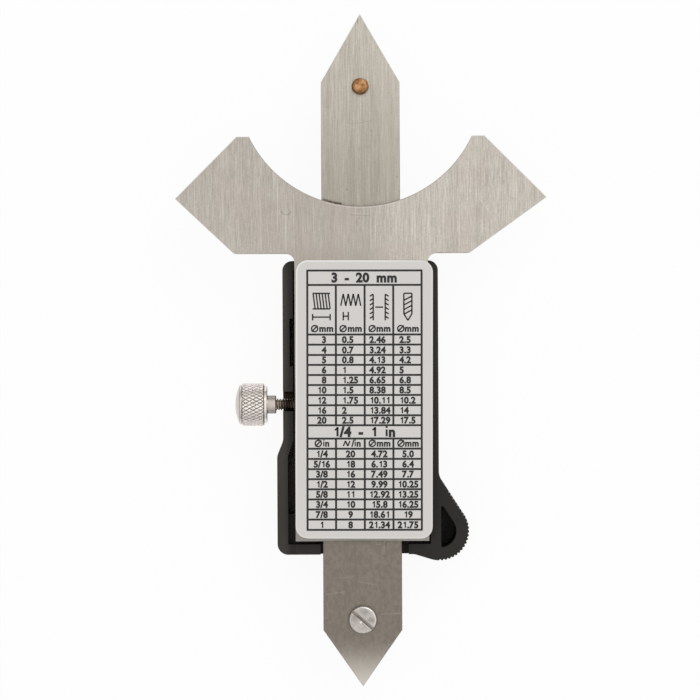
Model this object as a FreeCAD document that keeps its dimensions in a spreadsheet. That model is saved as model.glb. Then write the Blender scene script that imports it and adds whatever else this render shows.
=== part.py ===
import FreeCAD, Part
import math
import os
import Sketcher
from types import SimpleNamespace

# Digital welding gauge: a pointed beam slides through a saddle-shaped frame with a display housing.
# X runs across the saddle, Y along the beam towards the saddle, Z from the display face to the back.
# The origin lies below the middle of the resting beam, in the plane of the display face.

# Lengths in millimetres, angles in degrees
SIZES = {
    # Beam and what it carries
    "beam_width": 16.0,
    "beam_length": 136.4,
    "beam_thickness": 3.2,
    "beam_top_angle": 60.0,
    "beam_bottom_angle": 70.0,
    "pin_from_tip": 14.7,
    "pin_diameter": 3.3,
    "pin_rise": 1.9,
    "pin_edge": 0.35,
    "stop_from_tip": 13.6,
    "stop_head_diameter": 5.5,
    "stop_head_height": 1.9,
    "stop_head_bevel": 0.4,
    "stop_shank_diameter": 3.0,
    "stop_slot_width": 0.8,
    "stop_slot_depth": 0.9,
    "stop_slot_turn": -43.0,
    "scale_width": 11.6,
    "scale_bed_depth": 0.7,
    "scale_strip_thickness": 0.9,
    "scale_film_thickness": 0.1,
    "scale_end_gap": 5.0,
    "scale_side_gap": 0.1,
    # Fits
    "slide_clearance": 0.05,
    "press_clearance": 0.01,
    # Frame: saddle head, back plate, rails and lips
    "plate_thickness": 2.0,
    "rail_width": 5.5,
    "lip_thickness": 0.6,
    "lip_reach": 1.5,
    "arm_edge": 19.6,
    "back_plate_length": 58.2,
    "saddle_span": 75.2,
    "tip_height": 11.2,
    "foot_height": 23.7,
    "foot_width": 2.55,
    "throat_height": 9.5,
    "upper_edge_angle": 45.0,
    "left_lower_angle": 43.3,
    "right_lower_angle": 35.6,
    "neck_radius": 1.8,
    "arm_corner_radius": 1.2,
    "plate_edge_chamfer": 0.15,
    # Gib strip, its two screws and the label
    "gib_thickness": 1.0,
    "gib_end_gap": 1.5,
    "gib_side_gap": 0.1,
    "gib_screw_diameter": 2.0,
    "gib_screw_top": 11.6,
    "gib_screw_from_end": 9.6,
    "gib_screw_sink": 0.3,
    "gib_slot_width": 0.4,
    "gib_slot_depth": 0.6,
    "label_width": 27.7,
    "label_height": 56.25,
    "label_thickness": 0.4,
    "label_radius": 2.4,
    "label_shift": 0.5,
    "label_drop": 29.55,
    "label_turn": -0.35,
    # Lock screw and its pad
    "lock_drop": 30.55,
    "lock_thread_diameter": 2.5,
    "lock_travel": 0.9,
    "lock_spare": 0.05,
    "lock_pad_diameter": 2.3,
    "lock_pad_length": 1.5,
    "lock_pad_edge": 0.2,
    "lock_standoff": 3.9,
    "knob_diameter": 8.7,
    "knob_barrel_length": 4.8,
    "knob_lip_length": 0.6,
    "knob_lip_step": 0.55,
    "knob_face_step": 0.35,
    "knob_dome_height": 1.1,
    "knob_collar_diameter": 3.7,
    "knob_collar_length": 1.8,
    "knob_bore_depth": 5.0,
    # Housing shell
    "front_wall": 1.8,
    "right_wall": 1.7,
    "upper_left_wall": 2.1,
    "lower_left_wall": 2.2,
    "top_wall": 1.8,
    "bottom_wall": 2.1,
    "side_gap": 0.4,
    "lower_left_gap": 1.55,
    "bottom_gap": 0.8,
    "top_gap": 0.4,
    "housing_top_drop": 1.4,
    "rim_drop": 0.8,
    "step_drop": 37.9,
    "step_length": 3.1,
    "top_corner_radius": 2.0,
    "bottom_corner_radius": 2.2,
    "step_radius": 3.0,
    "front_bevel": 1.2,
    "rim_bevel": 0.3,
    "rim_notch_drop": 13.1,
    "rim_notch_length": 9.7,
    "rim_notch_depth": 0.7,
    "beam_slot_gap": 0.5,
    "beam_slot_wide_gap": 1.4,
    "beam_slot_floor_gap": 0.25,
    "lock_slot_width": 4.0,
    "lock_slot_shift": 0.6,
    "screw_from_beam": 3.2,
    "screw_from_plate_end": 2.5,
    "post_reach": 2.8,
    # Thumb rest on the housing
    "thumb_radius": 6.0,
    "thumb_offset": 0.1,
    "thumb_rise": 4.7,
    "thumb_upper_angle": 32.9,
    "thumb_lower_angle": 17.0,
    "thumb_wall": 2.6,
    "thumb_web": 2.1,
    "thumb_pocket_round": 0.3,
    "thumb_upper_fillet": 3.0,
    "thumb_lower_fillet": 2.0,
    "serration_pitch": 0.8,
    "serration_depth": 0.3,
    "serration_stop": 2.0,
    "serrations_on_slope": 8,
    "serrations_on_round": 17,
    # Display
    "display_drop": 17.3,
    "lcd_side_gap": 0.4,
    "window_height": 11.5,
    "lens_margin": 1.2,
    "lens_thickness": 0.9,
    "lens_sink": 0.1,
    "lens_radius": 1.5,
    "glass_margin": 1.0,
    "glass_thickness": 1.8,
    "glass_gap": 0.05,
    "holder_gap": 0.1,
    "holder_wall": 0.9,
    "contact_strip_width": 1.6,
    "contact_strip_inset": 2.0,
    # Circuit board and fasteners
    "board_thickness": 1.0,
    "board_gap": 1.0,
    "board_post_gap": 0.3,
    "board_screw_diameter": 1.4,
    "board_screw_head": 2.6,
    "board_screw_head_height": 0.7,
    "board_screw_depth": 1.9,
    "board_screw_from_beam": 2.8,
    "board_screw_drop": 26.8,
    "board_screw_spacing": 14.3,
    "housing_screw_diameter": 2.0,
    "housing_screw_head": 3.8,
    "housing_screw_engagement": 5.0,
    "screw_hole_clearance": 0.1,
    # Buttons
    "button_drop": 31.2,
    "button_spacing": 8.6,
    "button_width": 6.2,
    "button_height": 4.2,
    "button_radius": 1.2,
    "button_clearance": 0.15,
    "button_sink": 0.2,
    "button_flange": 0.7,
    "button_flange_thickness": 0.6,
    "button_stem_side": 2.4,
    "button_travel": 0.4,
    "button_spare": 0.05,
    "dome_diameter": 4.6,
    "dome_height": 0.4,
    "dish_margin": 1.6,
    "dish_depth": 0.5,
    # Battery, its cup, contacts and door
    "battery_diameter": 11.6,
    "battery_height": 5.4,
    "battery_cap_step": 0.7,
    "battery_cap_height": 0.6,
    "battery_rise": 14.2,
    "battery_clearance": 0.3,
    "cup_wall": 1.2,
    "cup_height": 4.6,
    "contact_sheet": 0.25,
    "contact_width": 3.6,
    "contact_foot": 3.0,
    "contact_gap": 0.05,
    "leaf_room": 0.9,
    "contact_notch_gap": 0.4,
    "leaf_reach": 4.0,
    "door_width": 15.0,
    "door_length": 22.0,
    "door_thickness": 1.4,
    "door_sink": 0.1,
    "door_clearance": 0.1,
    "door_tongue": 0.8,
    "door_tongue_thickness": 0.5,
    "door_groove_width": 0.6,
    "door_groove_depth": 0.3,
    "door_groove_pitch": 1.6,
    "door_groove_inset": 3.0,
    "door_groove_side": 3.0,
    "door_grooves": 5,
}

# Sketch references: the origin point, and the two axes through it
ORIGIN, X_AXIS, Y_AXIS = -1, -1, -2
START, END, CENTRE = 1, 2, 3
NEAR = 0.02
FULL_TURN = 360.0
RIGHT_ANGLE = 90.0


class Size:
    """A dimension: its present value and the sheet expression that drives it."""

    def __init__(self, value, text):
        self.value = value
        self.text = text

    def __add__(self, other):
        return combine(self, "+", other, lambda a, b: a + b)

    def __radd__(self, other):
        return combine(other, "+", self, lambda a, b: a + b)

    def __sub__(self, other):
        return combine(self, "-", other, lambda a, b: a - b)

    def __rsub__(self, other):
        return combine(other, "-", self, lambda a, b: a - b)

    def __mul__(self, other):
        return combine(self, "*", other, lambda a, b: a * b)

    def __rmul__(self, other):
        return combine(other, "*", self, lambda a, b: a * b)

    def __truediv__(self, other):
        return combine(self, "/", other, lambda a, b: a / b)

    def __neg__(self):
        return combine(0, "-", self, lambda a, b: a - b)


def size_of(number):
    """A plain number as a Size, and a Size as itself."""
    if isinstance(number, Size):
        return number
    return Size(float(number), repr(float(number)))


def combine(first, sign, second, rule):
    first = size_of(first)
    second = size_of(second)
    return Size(rule(first.value, second.value), "(%s %s %s)" % (first.text, sign, second.text))


def sine(angle):
    return Size(math.sin(math.radians(angle.value)), "sin(%s)" % angle.text)


def cosine(angle):
    return Size(math.cos(math.radians(angle.value)), "cos(%s)" % angle.text)


def tangent(angle):
    return Size(math.tan(math.radians(angle.value)), "tan(%s)" % angle.text)


def root(number):
    return Size(math.sqrt(number.value), "sqrt(%s)" % number.text)


def make_sheet(doc):
    """Write each driving dimension into a cell whose alias is its name."""
    sheet = doc.addObject("Spreadsheet::Sheet", "Sizes")
    for row, (name, value) in enumerate(SIZES.items(), start=1):
        sheet.set("A%d" % row, name)
        sheet.set("B%d" % row, str(value))
        sheet.setAlias("B%d" % row, name)
    doc.recompute()
    return sheet


doc = FreeCAD.newDocument("WeldingGauge")
sheet = make_sheet(doc)
s = SimpleNamespace(**{name: Size(float(value), "Sizes." + name) for name, value in SIZES.items()})

# Levels along Z, from the display face to the back
board_front = s.front_wall + s.battery_height + s.leaf_room
seat_height = board_front + s.board_thickness
beam_front = seat_height + s.lip_thickness + s.slide_clearance
beam_back = beam_front + s.beam_thickness
plate_front = beam_back + s.slide_clearance
plate_back = plate_front + s.plate_thickness
film_front = beam_front + s.scale_bed_depth - s.scale_strip_thickness - s.scale_film_thickness
rim_level = plate_front - s.rim_drop
lock_level = beam_front + s.beam_thickness / 2

# Places along X
beam_edge = s.beam_width / 2
plate_edge = beam_edge + s.rail_width
gib_outer = beam_edge + s.slide_clearance + s.gib_thickness
left_rail_inner = gib_outer + s.slide_clearance
right_rail_inner = beam_edge + s.slide_clearance
lip_edge = beam_edge - s.lip_reach
inner_side = plate_edge + s.side_gap
inner_low_left = plate_edge + s.lower_left_gap
outer_right = inner_side + s.right_wall
outer_left = inner_side + s.upper_left_wall
outer_low_left = inner_low_left + s.lower_left_wall
screw_side = beam_edge + s.screw_from_beam
board_screw_side = beam_edge + s.board_screw_from_beam
window_width = 2 * (inner_side - s.lcd_side_gap - s.holder_wall - s.holder_gap - s.glass_margin)

# Places along Y
beam_tip = s.beam_length / 2
pin_place = beam_tip - s.pin_from_tip
stop_place = s.stop_from_tip - beam_tip
plate_end = s.arm_edge - s.back_plate_length
inner_bottom = plate_end - s.bottom_gap
outer_bottom = inner_bottom - s.bottom_wall
outer_top = s.arm_edge - s.housing_top_drop
inner_top = outer_top - s.top_wall
rail_top = inner_top - s.top_gap
step_top = s.arm_edge - s.step_drop
step_bottom = step_top - s.step_length
lock_place = s.arm_edge - s.lock_drop
upper_screw = rail_top - s.screw_from_plate_end
lower_screw = plate_end + s.screw_from_plate_end
display_place = s.arm_edge - s.display_drop
button_place = s.arm_edge - s.button_drop
battery_place = outer_bottom + s.battery_rise
upper_board_screw = s.arm_edge - s.board_screw_drop
lower_board_screw = upper_board_screw - s.board_screw_spacing
board_screw_places = [(-board_screw_side, upper_board_screw), (board_screw_side, lower_board_screw)]


def bind(thing, path, size):
    thing.setExpression(path, size_of(size).text)


def new_body(name, x=0, y=0, z=0):
    """A body named after its piece, placed by its own Placement."""
    body = doc.addObject("PartDesign::Body", name)
    body.Label = name
    for axis, place in (("x", x), ("y", y), ("z", z)):
        bind(body, "Placement.Base." + axis, place)
    return body


def new_sketch(body, name, plane="XY_Plane", lift=0, x=0, y=0, turn=None):
    """A sketch on one of the body's own planes, lifted along its normal."""
    sketch = body.newObject("Sketcher::SketchObject", name)
    support = next(item for item in body.Origin.OriginFeatures if item.Role == plane)
    sketch.AttachmentSupport = [(support, "")]
    sketch.MapMode = "FlatFace"
    bind(sketch, "AttachmentOffset.Base.x", x)
    bind(sketch, "AttachmentOffset.Base.y", y)
    bind(sketch, "AttachmentOffset.Base.z", lift)
    if turn is not None:
        sketch.AttachmentOffset = FreeCAD.Placement(
            FreeCAD.Vector(0, 0, 0), FreeCAD.Rotation(FreeCAD.Vector(0, 0, 1), 1)
        )
        bind(sketch, "AttachmentOffset.Rotation.Angle", turn)
    return sketch


def hold(sketch, geometry, point, x, y):
    """Fix one point of a sketch at its distances from the sketch's origin."""
    for kind, axis, place in (("DistanceX", Y_AXIS, x), ("DistanceY", X_AXIS, y)):
        place = size_of(place)
        if place.value == 0:
            sketch.addConstraint(Sketcher.Constraint("PointOnObject", geometry, point, axis))
            continue
        rule = Sketcher.Constraint(kind, ORIGIN, START, geometry, point, place.value)
        index = sketch.addConstraint(rule)
        bind(sketch, "Constraints[%d]" % index, place)


def arc_between(first, last, radius, way):
    """The smaller arc from one point to another: way 1 turns left, way -1 turns right."""
    chord = last - first
    middle = (first + last) * 0.5
    rise = math.sqrt(max(radius * radius - chord.Length * chord.Length / 4, 0))
    aside = FreeCAD.Vector(-chord.y, chord.x, 0).normalize()
    centre = middle + aside * (rise * way)
    circle = Part.Circle(centre, FreeCAD.Vector(0, 0, 1), radius)
    ends = (first, last) if way > 0 else (last, first)
    angles = [math.atan2(point.y - centre.y, point.x - centre.x) for point in ends]
    return Part.ArcOfCircle(circle, angles[0], angles[1])


def draw_outline(sketch, corners):
    """A closed outline. A corner (x, y) starts a line, and (x, y, radius, way) starts an arc."""
    places = [FreeCAD.Vector(size_of(c[0]).value, size_of(c[1]).value, 0) for c in corners]
    runs = []
    for number, corner in enumerate(corners):
        first = places[number]
        last = places[(number + 1) % len(corners)]
        if len(corner) == 2:
            index = sketch.addGeometry(Part.LineSegment(first, last), False)
            runs.append((index, START, END))
            continue
        radius = size_of(corner[2])
        way = corner[3]
        index = sketch.addGeometry(arc_between(first, last, radius.value, way), False)
        runs.append((index, START, END) if way > 0 else (index, END, START))
        rule = sketch.addConstraint(Sketcher.Constraint("Radius", index, radius.value))
        bind(sketch, "Constraints[%d]" % rule, radius)
    for number, corner in enumerate(corners):
        index, first_point, last_point = runs[number]
        after = runs[(number + 1) % len(runs)]
        sketch.addConstraint(Sketcher.Constraint("Coincident", index, last_point, after[0], after[1]))
        hold(sketch, index, first_point, corner[0], corner[1])


def draw_box(sketch, left, right, low, high):
    draw_outline(sketch, [(left, low), (right, low), (right, high), (left, high)])


def draw_circle(sketch, x, y, diameter):
    diameter = size_of(diameter)
    centre = FreeCAD.Vector(size_of(x).value, size_of(y).value, 0)
    circle = Part.Circle(centre, FreeCAD.Vector(0, 0, 1), diameter.value / 2)
    index = sketch.addGeometry(circle, False)
    rule = sketch.addConstraint(Sketcher.Constraint("Diameter", index, diameter.value))
    bind(sketch, "Constraints[%d]" % rule, diameter)
    hold(sketch, index, CENTRE, x, y)


def extrude(body, kind, sketch, length, reverse=False):
    """Pad or pocket a sketch by a bound length, along or against the sketch's normal."""
    feature = body.newObject("PartDesign::" + kind, sketch.Name + kind)
    feature.Profile = sketch
    feature.Reversed = reverse
    bind(feature, "Length", length)
    body.Tip = feature
    return feature


def revolve(body, sketch, axis):
    feature = body.newObject("PartDesign::Revolution", sketch.Name + "Revolution")
    feature.Profile = sketch
    feature.ReferenceAxis = (sketch, [axis])
    feature.Angle = FULL_TURN
    body.Tip = feature
    return feature


def edges_where(feature, test):
    edges = feature.Shape.Edges
    return ["Edge%d" % (number + 1) for number, edge in enumerate(edges) if test(edge)]


def upright_at(places):
    """A test for edges along Z that stand at one of the given points."""
    spots = [(size_of(x).value, size_of(y).value) for x, y in places]

    def test(edge):
        box = edge.BoundBox
        if max(box.XLength, box.YLength) > NEAR or box.ZLength < NEAR:
            return False
        return any(math.hypot(box.XMin - x, box.YMin - y) < 2 * NEAR for x, y in spots)

    return test


def in_level(level):
    """A test for edges that lie flat at one height."""
    height = size_of(level).value

    def test(edge):
        box = edge.BoundBox
        return max(abs(box.ZMin - height), abs(box.ZMax - height)) < NEAR

    return test


def dress(body, kind, path, size, test):
    """Fillet or chamfer the edges of the body's latest feature that pass the test."""
    doc.recompute()
    base = body.Tip
    feature = body.newObject("PartDesign::" + kind, body.Name + kind)
    feature.Base = (base, edges_where(base, test))
    bind(feature, path, size)
    body.Tip = feature
    return feature


def round_edges(body, radius, test):
    return dress(body, "Fillet", "Radius", radius, test)


def bevel_edges(body, width, test):
    return dress(body, "Chamfer", "Size", width, test)


def new_part(kind, name, sizes, x=0, y=0, z=0):
    """A Part primitive with bound sizes and place."""
    thing = doc.addObject("Part::" + kind, name)
    for path, size in sizes.items():
        bind(thing, path, size)
    for axis, place in (("x", x), ("y", y), ("z", z)):
        bind(thing, "Placement.Base." + axis, place)
    return thing


def join_all(name, pieces):
    """One solid from touching primitives."""
    fuse = doc.addObject("Part::MultiFuse", name)
    fuse.Shapes = pieces
    return fuse


def group(name, pieces):
    """Like pieces that share one node as separate solids."""
    compound = doc.addObject("Part::Compound", name)
    compound.Label = name
    compound.Links = pieces
    return compound


def beam():
    """Flat stainless bar: 60 degree point above, 70 degree point below, and a bed for the scale."""
    body = new_body("beam", z=beam_front)
    upper_shoulder = beam_tip - beam_edge / tangent(s.beam_top_angle / 2)
    lower_shoulder = beam_edge / tangent(s.beam_bottom_angle / 2) - beam_tip
    profile = new_sketch(body, "BeamOutline")
    draw_outline(profile, [
        (-beam_edge, lower_shoulder),
        (0, -beam_tip),
        (beam_edge, lower_shoulder),
        (beam_edge, upper_shoulder),
        (0, beam_tip),
        (-beam_edge, upper_shoulder),
    ])
    extrude(body, "Pad", profile, s.beam_thickness)
    bevel_edges(body, s.plate_edge_chamfer, in_level(s.beam_thickness))
    bed = new_sketch(body, "ScaleBed")
    bed_side = s.scale_width / 2 + s.scale_side_gap
    draw_box(bed, -bed_side, bed_side, stop_place + s.scale_end_gap - s.scale_side_gap,
             pin_place - s.scale_end_gap + s.scale_side_gap)
    extrude(body, "Pocket", bed, s.scale_bed_depth, reverse=True)
    holes = new_sketch(body, "StopHoles", lift=s.beam_thickness)
    draw_circle(holes, 0, pin_place, s.pin_diameter + 2 * s.press_clearance)
    draw_circle(holes, 0, stop_place, s.stop_shank_diameter + 2 * s.press_clearance)
    extrude(body, "Pocket", holes, s.beam_thickness)
    return body


def scale_layer(name, front, thickness):
    """One layer of the capacitive scale that lies in the beam's bed."""
    body = new_body(name, z=front)
    profile = new_sketch(body, name + "Outline")
    draw_box(profile, -s.scale_width / 2, s.scale_width / 2,
             stop_place + s.scale_end_gap, pin_place - s.scale_end_gap)
    extrude(body, "Pad", profile, thickness)
    return body


def stop_pin():
    """Pressed pin that meets the saddle's arc when the beam is drawn back."""
    body = new_body("stop_pin", y=pin_place, z=beam_front)
    profile = new_sketch(body, "PinSection")
    draw_circle(profile, 0, 0, s.pin_diameter)
    extrude(body, "Pad", profile, s.beam_thickness + s.pin_rise)
    bevel_edges(body, s.pin_edge, in_level(s.beam_thickness + s.pin_rise))
    return body


def stop_screw():
    """Slotted cheese-head screw that meets the end of the back plate."""
    body = new_body("stop_screw", y=stop_place, z=beam_front)
    top = s.beam_thickness + s.stop_head_height
    shank = new_sketch(body, "StopShank")
    draw_circle(shank, 0, 0, s.stop_shank_diameter)
    extrude(body, "Pad", shank, s.beam_thickness)
    head = new_sketch(body, "StopHead", lift=s.beam_thickness)
    draw_circle(head, 0, 0, s.stop_head_diameter)
    extrude(body, "Pad", head, s.stop_head_height)
    bevel_edges(body, s.stop_head_bevel, in_level(top))
    slot = new_sketch(body, "StopSlot", lift=top, turn=s.stop_slot_turn)
    draw_box(slot, -s.stop_head_diameter, s.stop_head_diameter,
             -s.stop_slot_width / 2, s.stop_slot_width / 2)
    extrude(body, "Pocket", slot, s.stop_slot_depth)
    return body


def saddle_frame():
    """Stainless frame: bow-shaped saddle and back plate in one sheet, with rails and lips for the beam."""
    body = new_body("saddle_frame")
    tip = s.saddle_span / 2
    tip_level = s.arm_edge + s.tip_height
    foot_level = s.arm_edge + s.foot_height
    foot_outer = tip - (s.foot_height - s.tip_height) / tangent(s.upper_edge_angle)
    foot_inner = foot_outer - s.foot_width
    arc_depth = s.foot_height - s.throat_height
    arc_radius = (arc_depth * arc_depth + foot_inner * foot_inner) / (2 * arc_depth)
    left_corner = s.tip_height / tangent(s.left_lower_angle) - tip
    right_corner = tip - s.tip_height / tangent(s.right_lower_angle)
    sheet_outline = new_sketch(body, "SaddleOutline", lift=plate_front)
    draw_outline(sheet_outline, [
        (-plate_edge, plate_end),
        (plate_edge, plate_end),
        (plate_edge, s.arm_edge),
        (right_corner, s.arm_edge),
        (tip, tip_level),
        (foot_outer, foot_level),
        (foot_inner, foot_level, arc_radius, -1),
        (-foot_inner, foot_level),
        (-foot_outer, foot_level),
        (-tip, tip_level),
        (left_corner, s.arm_edge),
        (-plate_edge, s.arm_edge),
    ])
    extrude(body, "Pad", sheet_outline, s.plate_thickness)
    round_edges(body, s.neck_radius, upright_at([(plate_edge, s.arm_edge), (-plate_edge, s.arm_edge)]))
    round_edges(body, s.arm_corner_radius,
                upright_at([(right_corner, s.arm_edge), (left_corner, s.arm_edge)]))
    bevel_edges(body, s.plate_edge_chamfer, in_level(plate_back))
    add_rails(body)
    drill_frame(body)
    return body


def add_rails(body):
    """Two rails beside the beam, each with a lip over the beam's front edge."""
    lip_back = seat_height + s.lip_thickness
    rails = new_sketch(body, "RailSections", plane="XZ_Plane", lift=-rail_top)
    for side, inner in ((-1, left_rail_inner), (1, right_rail_inner)):
        draw_outline(rails, [
            (side * plate_edge, seat_height),
            (side * lip_edge, seat_height),
            (side * lip_edge, lip_back),
            (side * inner, lip_back),
            (side * inner, plate_front),
            (side * plate_edge, plate_front),
        ])
    extrude(body, "Pad", rails, rail_top - plate_end)


def drill_frame(body):
    """Countersunk holes for the housing screws, board screw holes, and the bores in the left rail."""
    doc.recompute()
    marks = new_sketch(body, "HousingScrewMarks", lift=plate_back)
    hole_diameter = s.housing_screw_diameter + 2 * s.screw_hole_clearance
    for x in (-screw_side, screw_side):
        for y in (upper_screw, lower_screw):
            draw_circle(marks, x, y, hole_diameter)
    doc.recompute()
    holes = body.newObject("PartDesign::Hole", "HousingScrewHoles")
    holes.Profile = marks
    holes.DepthType = "ThroughAll"
    bind(holes, "Diameter", hole_diameter)
    holes.HoleCutType = "Countersink"
    holes.HoleCutCustomValues = True
    bind(holes, "HoleCutDiameter", s.housing_screw_head + 2 * s.screw_hole_clearance)
    holes.HoleCutCountersinkAngle = RIGHT_ANGLE
    body.Tip = holes
    board_marks = new_sketch(body, "BoardScrewMarks", lift=seat_height)
    for x, y in board_screw_places:
        draw_circle(board_marks, x, y, s.board_screw_diameter + 2 * s.press_clearance)
    extrude(body, "Pocket", board_marks, s.board_screw_depth + s.screw_hole_clearance, reverse=True)
    bores = new_sketch(body, "RailBores", plane="YZ_Plane", lift=-plate_edge)
    draw_circle(bores, lock_place, lock_level, s.lock_thread_diameter + 2 * s.slide_clearance)
    for y in (s.arm_edge - s.gib_screw_top, plate_end + s.gib_screw_from_end):
        draw_circle(bores, y, lock_level, s.gib_screw_diameter + 2 * s.press_clearance)
    extrude(body, "Pocket", bores, plate_edge - left_rail_inner, reverse=True)


def label_plate():
    """Thin plate with rounded corners on the back, a little askew as it was stuck on."""
    body = new_body("label_plate", x=s.label_shift, y=s.arm_edge - s.label_drop, z=plate_back)
    body.Placement.Rotation = FreeCAD.Rotation(FreeCAD.Vector(0, 0, 1), 1)
    bind(body, "Placement.Rotation.Angle", s.label_turn)
    half_width = s.label_width / 2
    half_height = s.label_height / 2
    profile = new_sketch(body, "LabelOutline")
    draw_box(profile, -half_width, half_width, -half_height, half_height)
    extrude(body, "Pad", profile, s.label_thickness)
    corners = [(x, y) for x in (-half_width, half_width) for y in (-half_height, half_height)]
    round_edges(body, s.label_radius, upright_at(corners))
    return body


def gib_strip():
    """Brass strip between the beam and the left rail that takes up the play."""
    body = new_body("gib_strip")
    low = seat_height + s.lip_thickness + s.gib_side_gap
    profile = new_sketch(body, "GibOutline", lift=low)
    draw_box(profile, -gib_outer, -gib_outer + s.gib_thickness,
             plate_end + s.gib_end_gap, rail_top - s.gib_end_gap)
    extrude(body, "Pad", profile, plate_front - s.gib_side_gap - low)
    return body


def gib_screws():
    """Two headless slotted screws in the left rail that bear on the gib strip."""
    length = plate_edge - s.gib_screw_sink - gib_outer
    places = (s.arm_edge - s.gib_screw_top, plate_end + s.gib_screw_from_end)
    screws = []
    for number, y in enumerate(places, start=1):
        shank = new_part("Cylinder", "GibShank%d" % number,
                         {"Radius": s.gib_screw_diameter / 2, "Height": length},
                         x=-plate_edge + s.gib_screw_sink, y=y, z=lock_level)
        shank.Placement.Rotation = FreeCAD.Rotation(FreeCAD.Vector(0, 1, 0), RIGHT_ANGLE)
        slot = new_part("Box", "GibSlot%d" % number,
                        {"Length": 2 * s.gib_slot_depth, "Width": s.gib_slot_width,
                         "Height": 2 * s.gib_screw_diameter},
                        x=-plate_edge + s.gib_screw_sink - s.gib_slot_depth,
                        y=y - s.gib_slot_width / 2, z=lock_level - s.gib_screw_diameter)
        screw = doc.addObject("Part::Cut", "GibScrew%d" % number)
        screw.Base = shank
        screw.Tool = slot
        screws.append(screw)
    return group("gib_screws", screws)


def housing_outline(sketch):
    """Outer outline of the housing with the round thumb rest at its lower right corner."""
    centre_x = outer_right + s.thumb_offset
    centre_y = outer_bottom + s.thumb_rise
    upper_x = centre_x + s.thumb_radius * cosine(s.thumb_upper_angle)
    upper_y = centre_y + s.thumb_radius * sine(s.thumb_upper_angle)
    lower_x = centre_x - s.thumb_radius * sine(s.thumb_lower_angle)
    lower_y = centre_y - s.thumb_radius * cosine(s.thumb_lower_angle)
    slope_top = upper_y + (upper_x - outer_right) / tangent(s.thumb_upper_angle)
    slope_foot = lower_x - (outer_bottom - lower_y) / tangent(s.thumb_lower_angle)
    draw_outline(sketch, [
        (-outer_low_left, outer_bottom),
        (slope_foot, outer_bottom),
        (lower_x, lower_y, s.thumb_radius, 1),
        (upper_x, upper_y),
        (outer_right, slope_top),
        (outer_right, outer_top),
        (-outer_left, outer_top),
        (-outer_left, step_top),
        (-outer_low_left, step_bottom),
    ])
    return slope_foot, slope_top


def housing_shell():
    """Moulded black housing, open at the back, with its posts, cup, slots and serrated thumb rest."""
    body = new_body("housing_shell")
    outline = new_sketch(body, "HousingOutline")
    slope_foot, slope_top = housing_outline(outline)
    extrude(body, "Pad", outline, rim_level)
    round_edges(body, s.top_corner_radius,
                upright_at([(outer_right, outer_top), (-outer_left, outer_top)]))
    round_edges(body, s.bottom_corner_radius, upright_at([(-outer_low_left, outer_bottom)]))
    round_edges(body, s.step_radius,
                upright_at([(-outer_left, step_top), (-outer_low_left, step_bottom)]))
    round_edges(body, s.thumb_upper_fillet, upright_at([(outer_right, slope_top)]))
    round_edges(body, s.thumb_lower_fillet, upright_at([(slope_foot, outer_bottom)]))
    bevel_edges(body, s.front_bevel, in_level(0))
    bevel_edges(body, s.rim_bevel, in_level(rim_level))
    hollow_housing(body)
    add_posts(body)
    add_battery_cup(body)
    open_housing_ends(body)
    open_housing_face(body)
    serrate_thumb_rest(body)
    return body


def hollow_housing(body):
    """The cavity for the works, the notch in its rim, and the hollow behind the thumb rest."""
    depth = rim_level - s.front_wall
    cavity = new_sketch(body, "HousingCavity", lift=rim_level)
    draw_outline(cavity, [
        (-inner_low_left, inner_bottom),
        (inner_side, inner_bottom),
        (inner_side, inner_top),
        (-inner_side, inner_top),
        (-inner_side, step_top),
        (-inner_low_left, step_bottom),
    ])
    extrude(body, "Pocket", cavity, depth)
    notch_top = s.arm_edge - s.rim_notch_drop
    notch = new_sketch(body, "RimNotch", lift=rim_level)
    draw_box(notch, -inner_side - s.rim_notch_depth, -inner_side + s.rim_notch_depth,
             notch_top - s.rim_notch_length, notch_top)
    extrude(body, "Pocket", notch, depth)
    centre_x = outer_right + s.thumb_offset
    centre_y = outer_bottom + s.thumb_rise
    radius = s.thumb_radius - s.thumb_wall
    left = inner_side + s.thumb_web
    reach = left - centre_x
    low = centre_y - root(radius * radius - reach * reach)
    side_x = centre_x + radius * cosine(s.thumb_upper_angle)
    side_y = centre_y + radius * sine(s.thumb_upper_angle)
    apex = side_y + (side_x - left) / tangent(s.thumb_upper_angle)
    pocket = new_sketch(body, "ThumbPocket", lift=rim_level)
    draw_outline(pocket, [(left, low, radius, 1), (side_x, side_y), (left, apex)])
    extrude(body, "Pocket", pocket, depth)
    round_edges(body, s.thumb_pocket_round, upright_at([(left, low), (left, apex)]))


def add_posts(body):
    """Four corner posts that carry the frame, each with a hole for its screw."""
    blocks = new_sketch(body, "CornerPosts", lift=s.front_wall)
    into_wall = s.right_wall / 2
    low_reach = lower_screw + s.post_reach
    top_reach = upper_screw - s.post_reach
    far_left = inner_side + into_wall
    far_low_left = inner_low_left + into_wall
    draw_box(blocks, screw_side - s.post_reach, far_left, top_reach, inner_top + into_wall)
    draw_box(blocks, -far_left, s.post_reach - screw_side, top_reach, inner_top + into_wall)
    draw_box(blocks, screw_side - s.post_reach, far_left, inner_bottom - into_wall, low_reach)
    draw_box(blocks, -far_low_left, s.post_reach - screw_side, inner_bottom - into_wall, low_reach)
    extrude(body, "Pad", blocks, seat_height - s.front_wall)
    pilots = new_sketch(body, "PostHoles", lift=seat_height)
    for x in (-screw_side, screw_side):
        for y in (upper_screw, lower_screw):
            draw_circle(pilots, x, y, s.housing_screw_diameter + 2 * s.press_clearance)
    extrude(body, "Pocket", pilots, s.housing_screw_engagement + s.screw_hole_clearance)


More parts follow.
